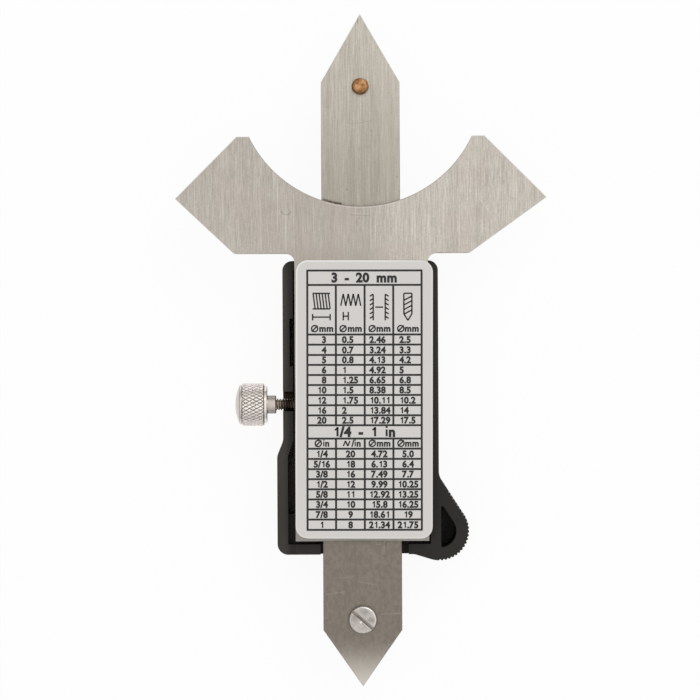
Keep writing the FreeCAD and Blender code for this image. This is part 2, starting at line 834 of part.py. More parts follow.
def add_battery_cup(body):
    """Ring wall round the battery, open beside the positive contact."""
    cup = new_sketch(body, "BatteryCup", lift=s.front_wall)
    inner = s.battery_diameter + 2 * s.battery_clearance
    draw_circle(cup, 0, battery_place, inner + 2 * s.cup_wall)
    draw_circle(cup, 0, battery_place, inner)
    extrude(body, "Pad", cup, s.cup_height)
    gap = new_sketch(body, "CupGap", lift=s.front_wall + s.cup_height)
    half = s.contact_width / 2 + s.contact_notch_gap
    draw_box(gap, inner / 2 - s.cup_wall, inner / 2 + 2 * s.cup_wall, battery_place - half,
             battery_place + half)
    extrude(body, "Pocket", gap, s.cup_height)


def open_housing_ends(body):
    """Slots for the beam through both end walls, and for the lock screw through the left wall."""
    floor = film_front - s.beam_slot_floor_gap
    height = rim_level - floor
    ends = new_sketch(body, "BeamSlots", lift=rim_level)
    left = beam_edge + s.beam_slot_gap
    draw_box(ends, -left, left, inner_top - s.top_gap, outer_top + s.top_wall)
    draw_box(ends, -left, beam_edge + s.beam_slot_wide_gap, outer_bottom - s.bottom_wall,
             inner_bottom + s.bottom_gap)
    extrude(body, "Pocket", ends, height)
    slot = new_sketch(body, "LockSlot", plane="YZ_Plane", lift=-inner_side)
    half = s.lock_slot_width / 2
    slot_place = lock_place + s.lock_slot_shift
    draw_outline(slot, [
        (slot_place - half, lock_level, half, 1),
        (slot_place, lock_level - half, half, 1),
        (slot_place + half, lock_level),
        (slot_place + half, rim_level + half),
        (slot_place - half, rim_level + half),
    ])
    extrude(body, "Pocket", slot, 2 * s.upper_left_wall)


def open_housing_face(body):
    """Window, finger dish, button holes, battery hole and door channel in the display face."""
    lens = new_sketch(body, "LensRecess")
    half_width = window_width / 2 + s.lens_margin
    half_height = s.window_height / 2 + s.lens_margin
    draw_box(lens, -half_width, half_width, display_place - half_height, display_place + half_height)
    extrude(body, "Pocket", lens, s.lens_thickness + s.lens_sink, reverse=True)
    corners = [(x, display_place + y) for x in (-half_width, half_width)
               for y in (-half_height, half_height)]
    round_edges(body, s.lens_radius, upright_at(corners))
    window = new_sketch(body, "WindowOpening")
    draw_box(window, -window_width / 2, window_width / 2, display_place - s.window_height / 2,
             display_place + s.window_height / 2)
    extrude(body, "Pocket", window, s.front_wall, reverse=True)
    dish = new_sketch(body, "FingerDish")
    dish_side = s.button_spacing + s.button_width / 2 + s.dish_margin
    dish_rise = s.button_height / 2 + s.dish_margin
    draw_box(dish, -dish_side, dish_side, button_place - dish_rise, button_place + dish_rise)
    extrude(body, "Pocket", dish, s.dish_depth, reverse=True)
    corners = [(x, y) for x in (-dish_side, dish_side)
               for y in (button_place - dish_rise, button_place + dish_rise)]
    round_edges(body, s.button_radius + s.dish_margin / 2, upright_at(corners))
    holes = new_sketch(body, "ButtonHoles")
    side = s.button_width / 2 + s.button_clearance
    rise = s.button_height / 2 + s.button_clearance
    for x in button_places():
        draw_box(holes, x - side, x + side, button_place - rise, button_place + rise)
    extrude(body, "Pocket", holes, s.front_wall, reverse=True)
    corners = [(x + a, button_place + b) for x in button_places() for a in (-side, side)
               for b in (-rise, rise)]
    round_edges(body, s.button_radius + s.button_clearance, upright_at(corners))
    open_door_channel(body)


def open_door_channel(body):
    """Hole over the battery, and the channel with side grooves in which its door slides."""
    hole = new_sketch(body, "BatteryHole")
    draw_circle(hole, 0, battery_place, s.battery_diameter + 2 * s.battery_clearance)
    extrude(body, "Pocket", hole, s.front_wall, reverse=True)
    top = outer_bottom + s.door_length + s.door_clearance
    side = s.door_width / 2 + s.door_clearance
    channel = new_sketch(body, "DoorChannel")
    draw_box(channel, -side, side, outer_bottom - s.bottom_wall, top)
    extrude(body, "Pocket", channel, s.door_sink + s.door_thickness + s.door_clearance, reverse=True)
    tongue_front = s.door_sink + (s.door_thickness - s.door_tongue_thickness) / 2
    grooves = new_sketch(body, "DoorGrooves", lift=tongue_front - s.door_clearance)
    reach = side + s.door_tongue
    draw_box(grooves, -reach, reach, outer_bottom - s.bottom_wall, top)
    extrude(body, "Pocket", grooves, s.door_tongue_thickness + 2 * s.door_clearance, reverse=True)


def serrate_thumb_rest(body):
    """Finger grip: V grooves down the slope and round the thumb rest, short of the front bevel."""
    groove = new_sketch(body, "Serration", lift=rim_level, x=outer_right + s.thumb_offset,
                        y=outer_bottom + s.thumb_rise, turn=s.thumb_upper_angle)
    mouth = s.thumb_radius + s.serration_depth
    draw_outline(groove, [
        (s.thumb_radius - s.serration_depth, 0),
        (mouth, -2 * s.serration_depth),
        (mouth, 2 * s.serration_depth),
    ])
    cut = extrude(body, "Pocket", groove, rim_level - s.serration_stop)
    doc.recompute()
    slope = body.newObject("PartDesign::LinearPattern", "SlopeSerrations")
    slope.Originals = [cut]
    slope.Direction = (groove, ["V_Axis"])
    slope.Occurrences = SIZES["serrations_on_slope"]
    bind(slope, "Length", s.serration_pitch * (s.serrations_on_slope - 1))
    body.Tip = slope
    round_rest = body.newObject("PartDesign::PolarPattern", "RoundSerrations")
    round_rest.Originals = [cut]
    round_rest.Axis = (groove, ["N_Axis"])
    round_rest.Reversed = True
    round_rest.Occurrences = SIZES["serrations_on_round"]
    step_angle = s.serration_pitch / s.thumb_radius * (FULL_TURN / (2 * math.pi))
    bind(round_rest, "Angle", step_angle * (s.serrations_on_round - 1))
    body.Tip = round_rest


def lcd_window():
    """Clear lens that fills the recess in the display face."""
    body = new_body("lcd_window", y=display_place, z=s.lens_sink)
    half_width = window_width / 2 + s.lens_margin - s.door_clearance
    half_height = s.window_height / 2 + s.lens_margin - s.door_clearance
    profile = new_sketch(body, "LensOutline")
    draw_box(profile, -half_width, half_width, -half_height, half_height)
    extrude(body, "Pad", profile, s.lens_thickness)
    corners = [(x, y) for x in (-half_width, half_width) for y in (-half_height, half_height)]
    round_edges(body, s.lens_radius, upright_at(corners))
    bevel_edges(body, s.plate_edge_chamfer, in_level(0))
    return body


def lcd_panel():
    """Glass display behind the window."""
    body = new_body("lcd_panel", y=display_place, z=s.front_wall + s.glass_gap)
    half_width = window_width / 2 + s.glass_margin
    half_height = s.window_height / 2 + s.glass_margin
    profile = new_sketch(body, "GlassOutline")
    draw_box(profile, -half_width, half_width, -half_height, half_height)
    extrude(body, "Pad", profile, s.glass_thickness)
    return body


def lcd_frame():
    """Plastic holder that keeps the glass and its contact strips between face and board."""
    front = s.front_wall + s.glass_gap
    body = new_body("lcd_frame", y=display_place, z=front)
    half_width = window_width / 2 + s.glass_margin + s.holder_gap
    half_height = s.window_height / 2 + s.glass_margin + s.holder_gap
    profile = new_sketch(body, "HolderOutline")
    draw_box(profile, -half_width - s.holder_wall, half_width + s.holder_wall,
             -half_height - s.holder_wall, half_height + s.holder_wall)
    draw_box(profile, -half_width, half_width, -half_height, half_height)
    extrude(body, "Pad", profile, board_front - front)
    return body


def zebra_connectors():
    """Two rubber contact strips between the glass and the circuit board."""
    back = s.front_wall + s.glass_gap + s.glass_thickness
    rise = s.window_height / 2 + s.glass_margin - s.contact_strip_width
    strips = []
    places = (display_place - rise - s.contact_strip_width, display_place + rise)
    for number, y in enumerate(places, start=1):
        strips.append(new_part("Box", "ContactStrip%d" % number,
                               {"Length": window_width - 2 * s.contact_strip_inset,
                                "Width": s.contact_strip_width, "Height": board_front - back},
                               x=s.contact_strip_inset - window_width / 2, y=y, z=back))
    return group("zebra_connectors", strips)


def circuit_board():
    """Board with the sensing pads, notched round the corner posts and screwed to the rails."""
    body = new_body("circuit_board", z=board_front)
    side = inner_side - s.board_gap
    neck = screw_side - s.post_reach - s.board_post_gap
    low = inner_bottom + s.board_gap
    high = inner_top - s.board_gap
    low_neck = lower_screw + s.post_reach + s.board_post_gap
    high_neck = upper_screw - s.post_reach - s.board_post_gap
    right_half = [(neck, low), (neck, low_neck), (side, low_neck), (side, high_neck),
                  (neck, high_neck), (neck, high)]
    left_half = [(-x, y) for x, y in reversed(right_half)]
    profile = new_sketch(body, "BoardOutline")
    draw_outline(profile, right_half + left_half)
    for x, y in board_screw_places:
        draw_circle(profile, x, y, s.board_screw_diameter + 2 * s.press_clearance)
    extrude(body, "Pad", profile, s.board_thickness)
    return body


def board_screws():
    """Two small screws, across a diagonal, that hold the circuit board to the rails."""
    screws = []
    for number, (x, y) in enumerate(board_screw_places, start=1):
        head = new_part("Cylinder", "BoardScrewHead%d" % number,
                        {"Radius": s.board_screw_head / 2, "Height": s.board_screw_head_height},
                        x=x, y=y, z=board_front - s.board_screw_head_height)
        shank = new_part("Cylinder", "BoardScrewShank%d" % number,
                         {"Radius": s.board_screw_diameter / 2,
                          "Height": s.board_thickness + s.board_screw_depth},
                         x=x, y=y, z=board_front)
        screws.append(join_all("BoardScrew%d" % number, [head, shank]))
    return group("board_screws", screws)


def housing_screws():
    """Four countersunk screws, under the label, that hold the frame on the housing posts."""
    radius = s.housing_screw_diameter / 2
    head_height = s.housing_screw_head / 2 - radius
    screws = []
    for x in (-screw_side, screw_side):
        for y in (upper_screw, lower_screw):
            number = len(screws) + 1
            tip = seat_height - s.housing_screw_engagement
            neck = plate_back - s.screw_hole_clearance - head_height
            shank = new_part("Cylinder", "HousingScrewShank%d" % number,
                             {"Radius": radius, "Height": neck - tip}, x=x, y=y, z=tip)
            head = new_part("Cone", "HousingScrewHead%d" % number,
                            {"Radius1": radius, "Radius2": s.housing_screw_head / 2,
                             "Height": head_height}, x=x, y=y, z=neck)
            screws.append(join_all("HousingScrew%d" % number, [shank, head]))
    return group("housing_screws", screws)


def button_places():
    return [-s.button_spacing, 0, s.button_spacing]


def button(name, x):
    """Key with a flange inside the face and a stem that reaches its dome."""
    body = new_body(name, x=x, y=button_place, z=s.button_sink)
    flange_front = s.front_wall + s.button_spare - s.button_sink
    flange_back = flange_front + s.button_flange_thickness
    stem_back = board_front - s.dome_height - s.button_travel - s.button_spare - s.button_sink
    half_width = s.button_width / 2
    half_height = s.button_height / 2
    cap = new_sketch(body, name + "Cap")
    draw_box(cap, -half_width, half_width, -half_height, half_height)
    extrude(body, "Pad", cap, flange_back)
    corners = [(a, b) for a in (-half_width, half_width) for b in (-half_height, half_height)]
    round_edges(body, s.button_radius, upright_at(corners))
    bevel_edges(body, s.plate_edge_chamfer, in_level(0))
    flange = new_sketch(body, name + "Flange", lift=flange_front)
    draw_box(flange, -half_width - s.button_flange, half_width + s.button_flange,
             -half_height - s.button_flange, half_height + s.button_flange)
    extrude(body, "Pad", flange, s.button_flange_thickness)
    stem = new_sketch(body, name + "Stem", lift=flange_back)
    half_stem = s.button_stem_side / 2
    draw_box(stem, -half_stem, half_stem, -half_stem, half_stem)
    extrude(body, "Pad", stem, stem_back - flange_back)
    return body


def button_domes():
    """Three shallow metal snap domes on the circuit board."""
    domes = []
    for number, x in enumerate(button_places(), start=1):
        domes.append(new_part("Cylinder", "SnapDome%d" % number,
                              {"Radius": s.dome_diameter / 2, "Height": s.dome_height},
                              x=x, y=button_place, z=board_front - s.dome_height))
    return group("button_domes", domes)


def battery():
    """Silver oxide button cell: the wide can towards the door, the cap towards the board."""
    body = new_body("battery", y=battery_place, z=s.front_wall)
    can = s.battery_diameter / 2
    cap = can - s.battery_cap_step
    shoulder = s.battery_height - s.battery_cap_height
    profile = new_sketch(body, "CellSection", plane="XZ_Plane")
    draw_outline(profile, [(0, 0), (can, 0), (can, shoulder), (cap, shoulder),
                           (cap, s.battery_height), (0, s.battery_height)])
    revolve(body, profile, "V_Axis")
    return body


def battery_contact_positive():
    """Bent leaf: its foot lies on the board and its blade bears on the side of the can."""
    body = new_body("battery_contact_positive", y=battery_place)
    blade = s.battery_diameter / 2 + s.contact_gap
    blade_front = s.front_wall + s.cup_wall
    profile = new_sketch(body, "PositiveLeaf", plane="XZ_Plane", lift=-s.contact_width / 2)
    draw_outline(profile, [
        (blade, blade_front),
        (blade + s.contact_sheet, blade_front),
        (blade + s.contact_sheet, board_front - s.contact_sheet),
        (blade + s.contact_foot, board_front - s.contact_sheet),
        (blade + s.contact_foot, board_front),
        (blade, board_front),
    ])
    extrude(body, "Pad", profile, s.contact_width)
    return body


def battery_contact_negative():
    """Sprung leaf between the cell's cap and the board."""
    body = new_body("battery_contact_negative", y=battery_place)
    low = s.front_wall + s.battery_height + s.contact_gap
    high = board_front
    profile = new_sketch(body, "NegativeLeaf", plane="XZ_Plane", lift=-s.contact_width / 2)
    draw_outline(profile, [
        (-s.leaf_reach, high - s.contact_sheet),
        (-s.leaf_reach / 2, high - s.contact_sheet),
        (0, low),
        (s.leaf_reach / 2, low),
        (s.leaf_reach / 2, low + s.contact_sheet),
        (s.contact_sheet / 2, low + s.contact_sheet),
        (s.contact_sheet / 2 - s.leaf_reach / 2, high),
        (-s.leaf_reach, high),
    ])
    extrude(body, "Pad", profile, s.contact_width)
    return body


def battery_door():
    """Sliding door with side tongues and finger grooves, flush with the lower end of the housing."""
    body = new_body("battery_door", y=outer_bottom, z=s.door_sink)
    half = s.door_width / 2
    plate = new_sketch(body, "DoorPlate")
    draw_box(plate, -half, half, 0, s.door_length)
    extrude(body, "Pad", plate, s.door_thickness)
    bevel_edges(body, s.front_bevel - s.door_sink, front_end_edge)
    tongues = new_sketch(body, "DoorTongues", lift=(s.door_thickness - s.door_tongue_thickness) / 2)
    reach = half + s.door_tongue
    draw_box(tongues, -reach, reach, s.front_bevel, s.door_length)
    extrude(body, "Pad", tongues, s.door_tongue_thickness)
    groove = new_sketch(body, "DoorGroove")
    side = half - s.door_groove_side
    draw_box(groove, -side, side, s.door_groove_inset, s.door_groove_inset + s.door_groove_width)
    cut = extrude(body, "Pocket", groove, s.door_groove_depth, reverse=True)
    doc.recompute()
    row = body.newObject("PartDesign::LinearPattern", "DoorGrooveRow")
    row.Originals = [cut]
    row.Direction = (groove, ["V_Axis"])
    row.Occurrences = SIZES["door_grooves"]
    bind(row, "Length", s.door_groove_pitch * (s.door_grooves - 1))
    body.Tip = row
    return body


def front_end_edge(edge):
    """The lower front edge of the door, which follows the housing's bevel."""
    box = edge.BoundBox
    return box.XLength > NEAR and box.YMax < NEAR and box.ZMax < NEAR


def lock_pad():
    """Brass slug between the lock screw and the gib strip."""
    tip = gib_outer + s.lock_travel + s.lock_spare
    body = new_body("lock_pad", x=-tip, y=lock_place, z=lock_level)
    profile = new_sketch(body, "PadSection", plane="YZ_Plane", lift=-s.lock_pad_length)
    draw_circle(profile, 0, 0, s.lock_pad_diameter)
    extrude(body, "Pad", profile, s.lock_pad_length)
    bevel_edges(body, s.lock_pad_edge, lambda edge: edge.BoundBox.XMin > -NEAR)
    return body


def lock_stud():
    """Threaded stud of the lock screw, from the knob through the rail to the pad."""
    pad_back = gib_outer + s.lock_travel + s.lock_spare + s.lock_pad_length
    outer_end = plate_edge + s.lock_standoff + s.knob_bore_depth - s.press_clearance
    inner_end = pad_back + s.slide_clearance
    body = new_body("lock_stud", x=-outer_end, y=lock_place, z=lock_level)
    profile = new_sketch(body, "StudSection", plane="YZ_Plane")
    draw_circle(profile, 0, 0, s.lock_thread_diameter)
    extrude(body, "Pad", profile, outer_end - inner_end)
    return body


def lock_knob():
    """Round knob with a face turned in two flat cones, and a collar, about the lock screw's axis."""
    body = new_body("lock_knob", x=-plate_edge - s.lock_standoff, y=lock_place, z=lock_level)
    bore = s.lock_thread_diameter / 2 + s.press_clearance
    collar = s.knob_collar_diameter / 2
    radius = s.knob_diameter / 2
    lip_start = s.knob_collar_length
    barrel_start = lip_start + s.knob_lip_length
    face = barrel_start + s.knob_barrel_length
    dome_edge = radius - s.knob_face_step
    rise = s.knob_dome_height
    dome_radius = (dome_edge * dome_edge + rise * rise) / (2 * rise)
    dome_middle = dome_edge / 2
    middle_rise = root(dome_radius * dome_radius - dome_middle * dome_middle) - dome_radius + rise
    profile = new_sketch(body, "KnobSection")
    draw_outline(profile, [
        (0, bore),
        (-s.knob_bore_depth, bore),
        (-s.knob_bore_depth, 0),
        (-face - rise, 0),
        (-face - middle_rise, dome_middle),
        (-face, dome_edge),
        (s.knob_face_step - face, radius),
        (-barrel_start, radius),
        (-lip_start, radius - s.knob_lip_step),
        (-lip_start, collar),
        (0, collar),
    ])
    revolve(body, profile, "H_Axis")
    return body


def build_all():
    """Every piece of the gauge, in the order it is put together."""
    pieces = [
        saddle_frame(),
        gib_strip(),
        gib_screws(),
        label_plate(),
        housing_shell(),
        lcd_window(),
        lcd_panel(),
        lcd_frame(),
        zebra_connectors(),
        circuit_board(),
        board_screws(),
        housing_screws(),
        button_domes(),
    ]
    for name, x in zip(("button_power", "button_zero", "button_unit"), button_places()):
        pieces.append(button(name, x))
    pieces += [
        battery(),
        battery_contact_positive(),
        battery_contact_negative(),
        battery_door(),
        beam(),
        scale_layer("scale_strip", film_front + s.scale_film_thickness, s.scale_strip_thickness),
        scale_layer("scale_film", film_front, s.scale_film_thickness),
        stop_pin(),
        stop_screw(),
        lock_pad(),
        lock_stud(),
        lock_knob(),
    ]
    return pieces


def check_document(pieces):
    """Stop if a feature failed, a cut removed nothing, or a piece is empty or unsound."""
    for item in doc.Objects:
        if "Invalid" in item.State or "Error" in item.State:
            raise RuntimeError("%s is not sound: %s" % (item.Name, item.State))
        if item.TypeId in ("PartDesign::Pocket", "PartDesign::Hole"):
            if item.Shape.Volume >= item.BaseFeature.Shape.Volume:
                raise RuntimeError("%s removes nothing" % item.Name)
    for piece in pieces:
        if piece.Shape.isNull() or not piece.Shape.isValid() or not piece.Shape.Solids:
            raise RuntimeError("%s has no sound solid" % piece.Label)


pieces = build_all()
doc.recompute()
check_document(pieces)
os.makedirs("parts", exist_ok=True)
for piece in pieces:
    piece.Shape.exportStep("parts/%s.step" % piece.Label)
    box = piece.Shape.BoundBox
    print("%-26s %d solid(s) %9.2f mm3  X %.2f..%.2f  Y %.2f..%.2f  Z %.2f..%.2f" % (
        piece.Label, len(piece.Shape.Solids), piece.Shape.Volume,
        box.XMin, box.XMax, box.YMin, box.YMax, box.ZMin, box.ZMax))
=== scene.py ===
import math

import bmesh
import bpy
from mathutils import Matrix, Vector, noise


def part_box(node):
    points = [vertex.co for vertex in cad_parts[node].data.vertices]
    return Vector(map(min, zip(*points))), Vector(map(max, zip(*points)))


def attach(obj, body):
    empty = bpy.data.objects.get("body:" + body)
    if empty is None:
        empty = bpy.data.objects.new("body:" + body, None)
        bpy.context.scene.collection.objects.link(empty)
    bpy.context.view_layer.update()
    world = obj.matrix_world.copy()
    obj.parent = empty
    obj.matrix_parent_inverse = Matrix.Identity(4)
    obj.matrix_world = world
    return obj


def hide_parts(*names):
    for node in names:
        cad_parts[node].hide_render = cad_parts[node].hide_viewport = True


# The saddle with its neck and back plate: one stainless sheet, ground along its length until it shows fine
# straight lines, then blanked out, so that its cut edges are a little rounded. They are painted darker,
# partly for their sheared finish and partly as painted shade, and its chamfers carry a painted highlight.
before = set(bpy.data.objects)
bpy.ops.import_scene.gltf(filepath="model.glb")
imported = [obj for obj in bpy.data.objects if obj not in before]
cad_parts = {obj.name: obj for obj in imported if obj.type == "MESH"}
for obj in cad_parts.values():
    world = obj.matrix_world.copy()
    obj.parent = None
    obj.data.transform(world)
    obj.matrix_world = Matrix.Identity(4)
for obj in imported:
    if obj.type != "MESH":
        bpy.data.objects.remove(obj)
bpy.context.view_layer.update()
scene = bpy.context.scene
scene.view_settings.view_transform = "Standard"
MM = 0.001


class Term:
    """One socket of a node tree. Python's operators on it add the Math nodes."""

    def __init__(self, nodes, socket):
        self.nodes = nodes
        self.socket = socket

    def sum(self, operation, first, second=0.0):
        return self.nodes.node("ShaderNodeMath", {"operation": operation}, {0: first, 1: second})

    def __add__(self, other):
        return self.sum("ADD", self, other)

    def __radd__(self, other):
        return self.sum("ADD", other, self)

    def __sub__(self, other):
        return self.sum("SUBTRACT", self, other)

    def __rsub__(self, other):
        return self.sum("SUBTRACT", other, self)

    def __mul__(self, other):
        return self.sum("MULTIPLY", self, other)

    def __rmul__(self, other):
        return self.sum("MULTIPLY", other, self)

    def __pow__(self, other):
        return self.sum("POWER", self, other)

    def __abs__(self):
        return self.sum("ABSOLUTE", self)

    def __gt__(self, other):
        return self.sum("GREATER_THAN", self, other)

    def __lt__(self, other):
        return self.sum("LESS_THAN", self, other)

    def wave(self):
        return self.sum("SINE", self)

    def rise(self, low, high):
        """0 below low, 1 above high, and smooth between them."""
        values = {"Value": self, "From Min": low, "From Max": high}
        return self.nodes.node("ShaderNodeMapRange", {"interpolation_type": "SMOOTHSTEP"}, values)


def tone(red, green, blue):
    """A colour as a shader takes it, from the values of 0 to 255 that a screen shows."""
    linear = []
    for value in (red, green, blue):
        share = value / 255
        linear.append(share / 12.92 if share <= 0.04045 else ((share + 0.055) / 1.055) ** 2.4)
    return (*linear, 1.0)


def off_centre(across, up):
    """How far a place lies from a centre, from its two distances to it."""
    return (across * across + up * up) ** 0.5


class Tree:
    """A node tree, with the one way in which nodes are added to it."""

    def __init__(self, tree):
        self.tree = tree

    def node(self, kind, settings, inputs, output=0):
        added = self.tree.nodes.new(kind)
        for name, value in settings.items():
            setattr(added, name, value)
        for name, value in inputs.items():
            self.feed(added.inputs[name], value)
        return Term(self, added.outputs[output])

    def feed(self, socket, value):
        if isinstance(value, Term):
            self.tree.links.new(value.socket, socket)
        else:
            socket.default_value = value


class Finish(Tree):
    """One finish of the gauge: a Principled shader and the nodes that feed it."""

    def __init__(self, name, metallic=0.0, roughness=0.4):
        self.material = bpy.data.materials.new(name)
        self.material.use_nodes = True
        super().__init__(self.material.node_tree)
        self.shader = self.tree.nodes["Principled BSDF"]
        self.set("Metallic", metallic)
        self.set("Roughness", roughness)
        self.place = self.node("ShaderNodeTexCoord", {}, {}, "Object")
        self.mm = self.node("ShaderNodeVectorMath", {"operation": "SCALE"}, {0: self.place, "Scale": 1 / MM})
        self.x, self.y, self.z = (self.side(self.mm, axis) for axis in "XYZ")

    def side(self, vector, axis):
        return self.node("ShaderNodeSeparateXYZ", {}, {0: vector}, axis)

    def set(self, name, value):
        self.feed(self.shader.inputs[name], value)

    def mix(self, factor, first, second):
        """A colour between two others."""
        return self.node("ShaderNodeMix", {"data_type": "RGBA"}, {0: factor, 6: first, 7: second}, 2)

    def cloud(self, stretch, detail=2.0, roughness=0.5):
        """Noise of about 0.3 to 0.7; stretch gives its grains per millimetre along each axis."""
        vector = self.node("ShaderNodeVectorMath", {"operation": "MULTIPLY"}, {0: self.mm, 1: stretch})
        values = {"Vector": vector, "Scale": 1.0, "Detail": detail, "Roughness": roughness}
        return self.node("ShaderNodeTexNoise", {}, values)

    def looks_up(self):
        """1 on faces that look up, -1 on faces that look down."""
        return self.side(self.node("ShaderNodeNewGeometry", {}, {}, "Normal"), "Z")

    def upright(self):
        """1 on faces that look up or down, 0 on cut edges."""
        return abs(self.looks_up())

    def relief(self, height, depth, strength=1.0):
        """Bump of the given depth in millimetres."""
        values = {"Strength": strength, "Distance": depth * MM, "Height": height}
        self.set("Normal", self.node("ShaderNodeBump", {}, values))

    def coat(self, colour, roughness, height, depth):
        """Colour, roughness and bump of the whole finish."""
        self.set("Base Color", colour)
        self.set("Roughness", roughness)
        self.relief(height, depth)

    def mark(self, mask, colour):
        """Lays a mark of another colour over the finish."""
        below = Term(self, self.shader.inputs["Base Color"].links[0].from_socket)
        self.set("Base Color", self.mix(mask, below, colour))

    def scratch(self, start, end, width):
        """1 along a thin straight scratch between two points in millimetres, 0 elsewhere."""
        run = Vector(end) - Vector(start)
        way = run.normalized()
        place = (self.x - start[0]) * way.x + (self.y - start[1]) * way.y
        aside = abs((self.x - start[0]) * -way.y + (self.y - start[1]) * way.x)
        return (1 - aside.rise(width * 0.3, width)) * (place > 0) * (place < run.length)


def dress(name, finish):
    """Gives a piece that comes from the CAD its finish."""
    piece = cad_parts[name]
    if not piece.material_slots:
        piece.data.materials.append(None)
    for slot in piece.material_slots:
        slot.material = finish.material


def ground_steel(finish, light, dark, edge, muted=0.0):
    """Stainless sheet ground along Y: fine lines, faint bands and clouds, cut edges painted dark (partly
    their sheared finish, partly painted shade) and a painted highlight on the chamfers. The last argument,
    from 0 to 1, flattens the lines.
    """
    fine = finish.cloud((8.0, 0.30, 8.0), 3.0, 0.65)
    middle = finish.cloud((3.0, 0.10, 3.0), 2.0)
    band = finish.cloud((0.45, 0.03, 0.45), 1.0)
    grit = finish.cloud((4.5, 3.0, 4.5), 3.0, 0.7)
    mottle = finish.cloud((0.9, 0.7, 0.9), 3.0)
    lines = fine * 0.46 + middle * 0.18 + band * 0.12 + grit * 0.24
    # The last argument flattens the lines and hairlines where the beam's end is painted darker.
    lines = 0.5 + (lines - 0.5) * (1 - muted * 0.8)
    colour = finish.mix(lines.rise(0.38, 0.62), dark, light)
    hairline = finish.cloud((7.5, 0.07, 7.5), 2.0, 0.6).rise(0.57, 0.70)
    colour = finish.mix(hairline * (0.32 - muted * 0.32), colour, tone(244, 238, 228))
    colour = finish.mix(mottle.rise(0.48, 0.75) * 0.06, colour, edge)
    upright = finish.upright()
    face = upright.rise(0.15, 0.60)
    # Painted highlight: the chamfers between face and cut edge are painted nearly white.
    chamfer_highlight = face * (1 - upright.rise(0.80, 0.95))
    colour = finish.mix(chamfer_highlight * 0.7, colour, tone(246, 240, 230))
    # The cut edges are painted dark: partly their duller sheared finish, partly painted shade.
    sheared = finish.cloud((4.0, 4.0, 0.35), 3.0, 0.6)
    cut_edge_and_shade = finish.mix(sheared.rise(0.36, 0.64) * 0.35, edge, tone(168, 161, 152))
    finish.coat(finish.mix(face, cut_edge_and_shade, colour),
                0.50 - face * 0.13 + (lines - 0.5) * 0.20 + (mottle - 0.5) * 0.12,
                lines + mottle * 0.15, 0.003)


ARC_CENTRE, ARC_RADIUS = 54.1, 25.2


def from_arc_centre(finish):
    """Distance from the centre of the saddle's arc, which has ARC_RADIUS."""
    return off_centre(finish.x, finish.y - ARC_CENTRE)


saddle_finish = Finish("ground_saddle_steel", metallic=1.0)
# Painted light: the sheet's tones are painted lighter towards the right, on the lamp's side.
painted_light_to_right = saddle_finish.x.rise(-4.0, 12.0)
saddle_light = saddle_finish.mix(painted_light_to_right, tone(201, 195, 185), tone(214, 208, 198))
saddle_dark = saddle_finish.mix(painted_light_to_right, tone(168, 162, 153), tone(176, 170, 160))
ground_steel(saddle_finish, saddle_light, saddle_dark, tone(116, 109, 100))
neck_shade = saddle_finish.x.rise(-17.0, -10.0) * (1 - saddle_finish.x.rise(-1.0, 8.0))
neck_shade = neck_shade * (0.22 + saddle_finish.y.rise(22.5, 18.6) * 0.24)
saddle_finish.mark(neck_shade, tone(160, 152, 143))
warm_patch = saddle_finish.cloud((0.17, 0.12, 0.17), 2.0).rise(0.42, 0.62)
saddle_finish.mark(warm_patch * 0.12, tone(198, 172, 160))
arc_edge = abs(from_arc_centre(saddle_finish) - (ARC_RADIUS - 0.08))
arc_glint = (1 - arc_edge.rise(0.08, 0.22)) * (1 - abs(saddle_finish.x).rise(6.5, 8.5))
saddle_finish.mark(arc_glint * 0.5, tone(232, 226, 216))
nick_x, nick_y, nick_radius = -15.1, 28.1, 0.62
nick = off_centre((saddle_finish.x - nick_x) * 0.5 ** 0.5, saddle_finish.y - nick_y)
nick_line = (1 - abs(nick - nick_radius).rise(0.05, 0.16)) * (saddle_finish.y < nick_y + 0.1)
saddle_finish.mark(nick_line * 0.30, tone(92, 86, 78))
for start, end, width, share, colour in (((-2.0, 27.7), (1.6, 27.5), 0.14, 0.14, tone(232, 228, 220)),
                                         ((-2.2, 27.4), (1.9, 27.2), 0.14, 0.22, tone(110, 104, 96)),
                                         ((24.0, 30.5), (27.5, 26.0), 0.10, 0.30, tone(236, 232, 226))):
    saddle_finish.mark(saddle_finish.scratch(start, end, width) * share, colour)
# Painted shade: the plate's strip below the label is painted darker.
shade_below_label = saddle_finish.y.rise(-35.0, -35.8) * saddle_finish.upright()
saddle_finish.mark(shade_below_label * 0.9, tone(146, 142, 137))
# Painted shade: a dark strip on the plate along the label's left edge.
shade_beside_label = saddle_finish.x.rise(-13.4, -13.6) * saddle_finish.y.rise(-16.0, -2.0)
saddle_finish.mark(shade_beside_label * (saddle_finish.y < 17.6) * 0.85, tone(58, 54, 50))
dress("saddle_frame", saddle_finish)

# The gib strip: drawn brass, laid beside the beam to take up its play. Its two headless screws are
# turned steel, blacked by oil in their slots.
def drawn_brass(name, light, dark, stretch):
    """Brass with the fine lines of its drawing or turning."""
    finish = Finish(name, metallic=1.0)
    lines = finish.cloud(stretch, 2.0)
    stain = finish.cloud((0.35, 0.35, 0.35), 3.0)
    shade = lines.rise(0.3, 0.7) * 0.6 + stain.rise(0.45, 0.75) * 0.4
    finish.coat(finish.mix(shade, light, dark),
                0.26 + (stain - 0.4) * 0.5, lines, 0.004)
    return finish


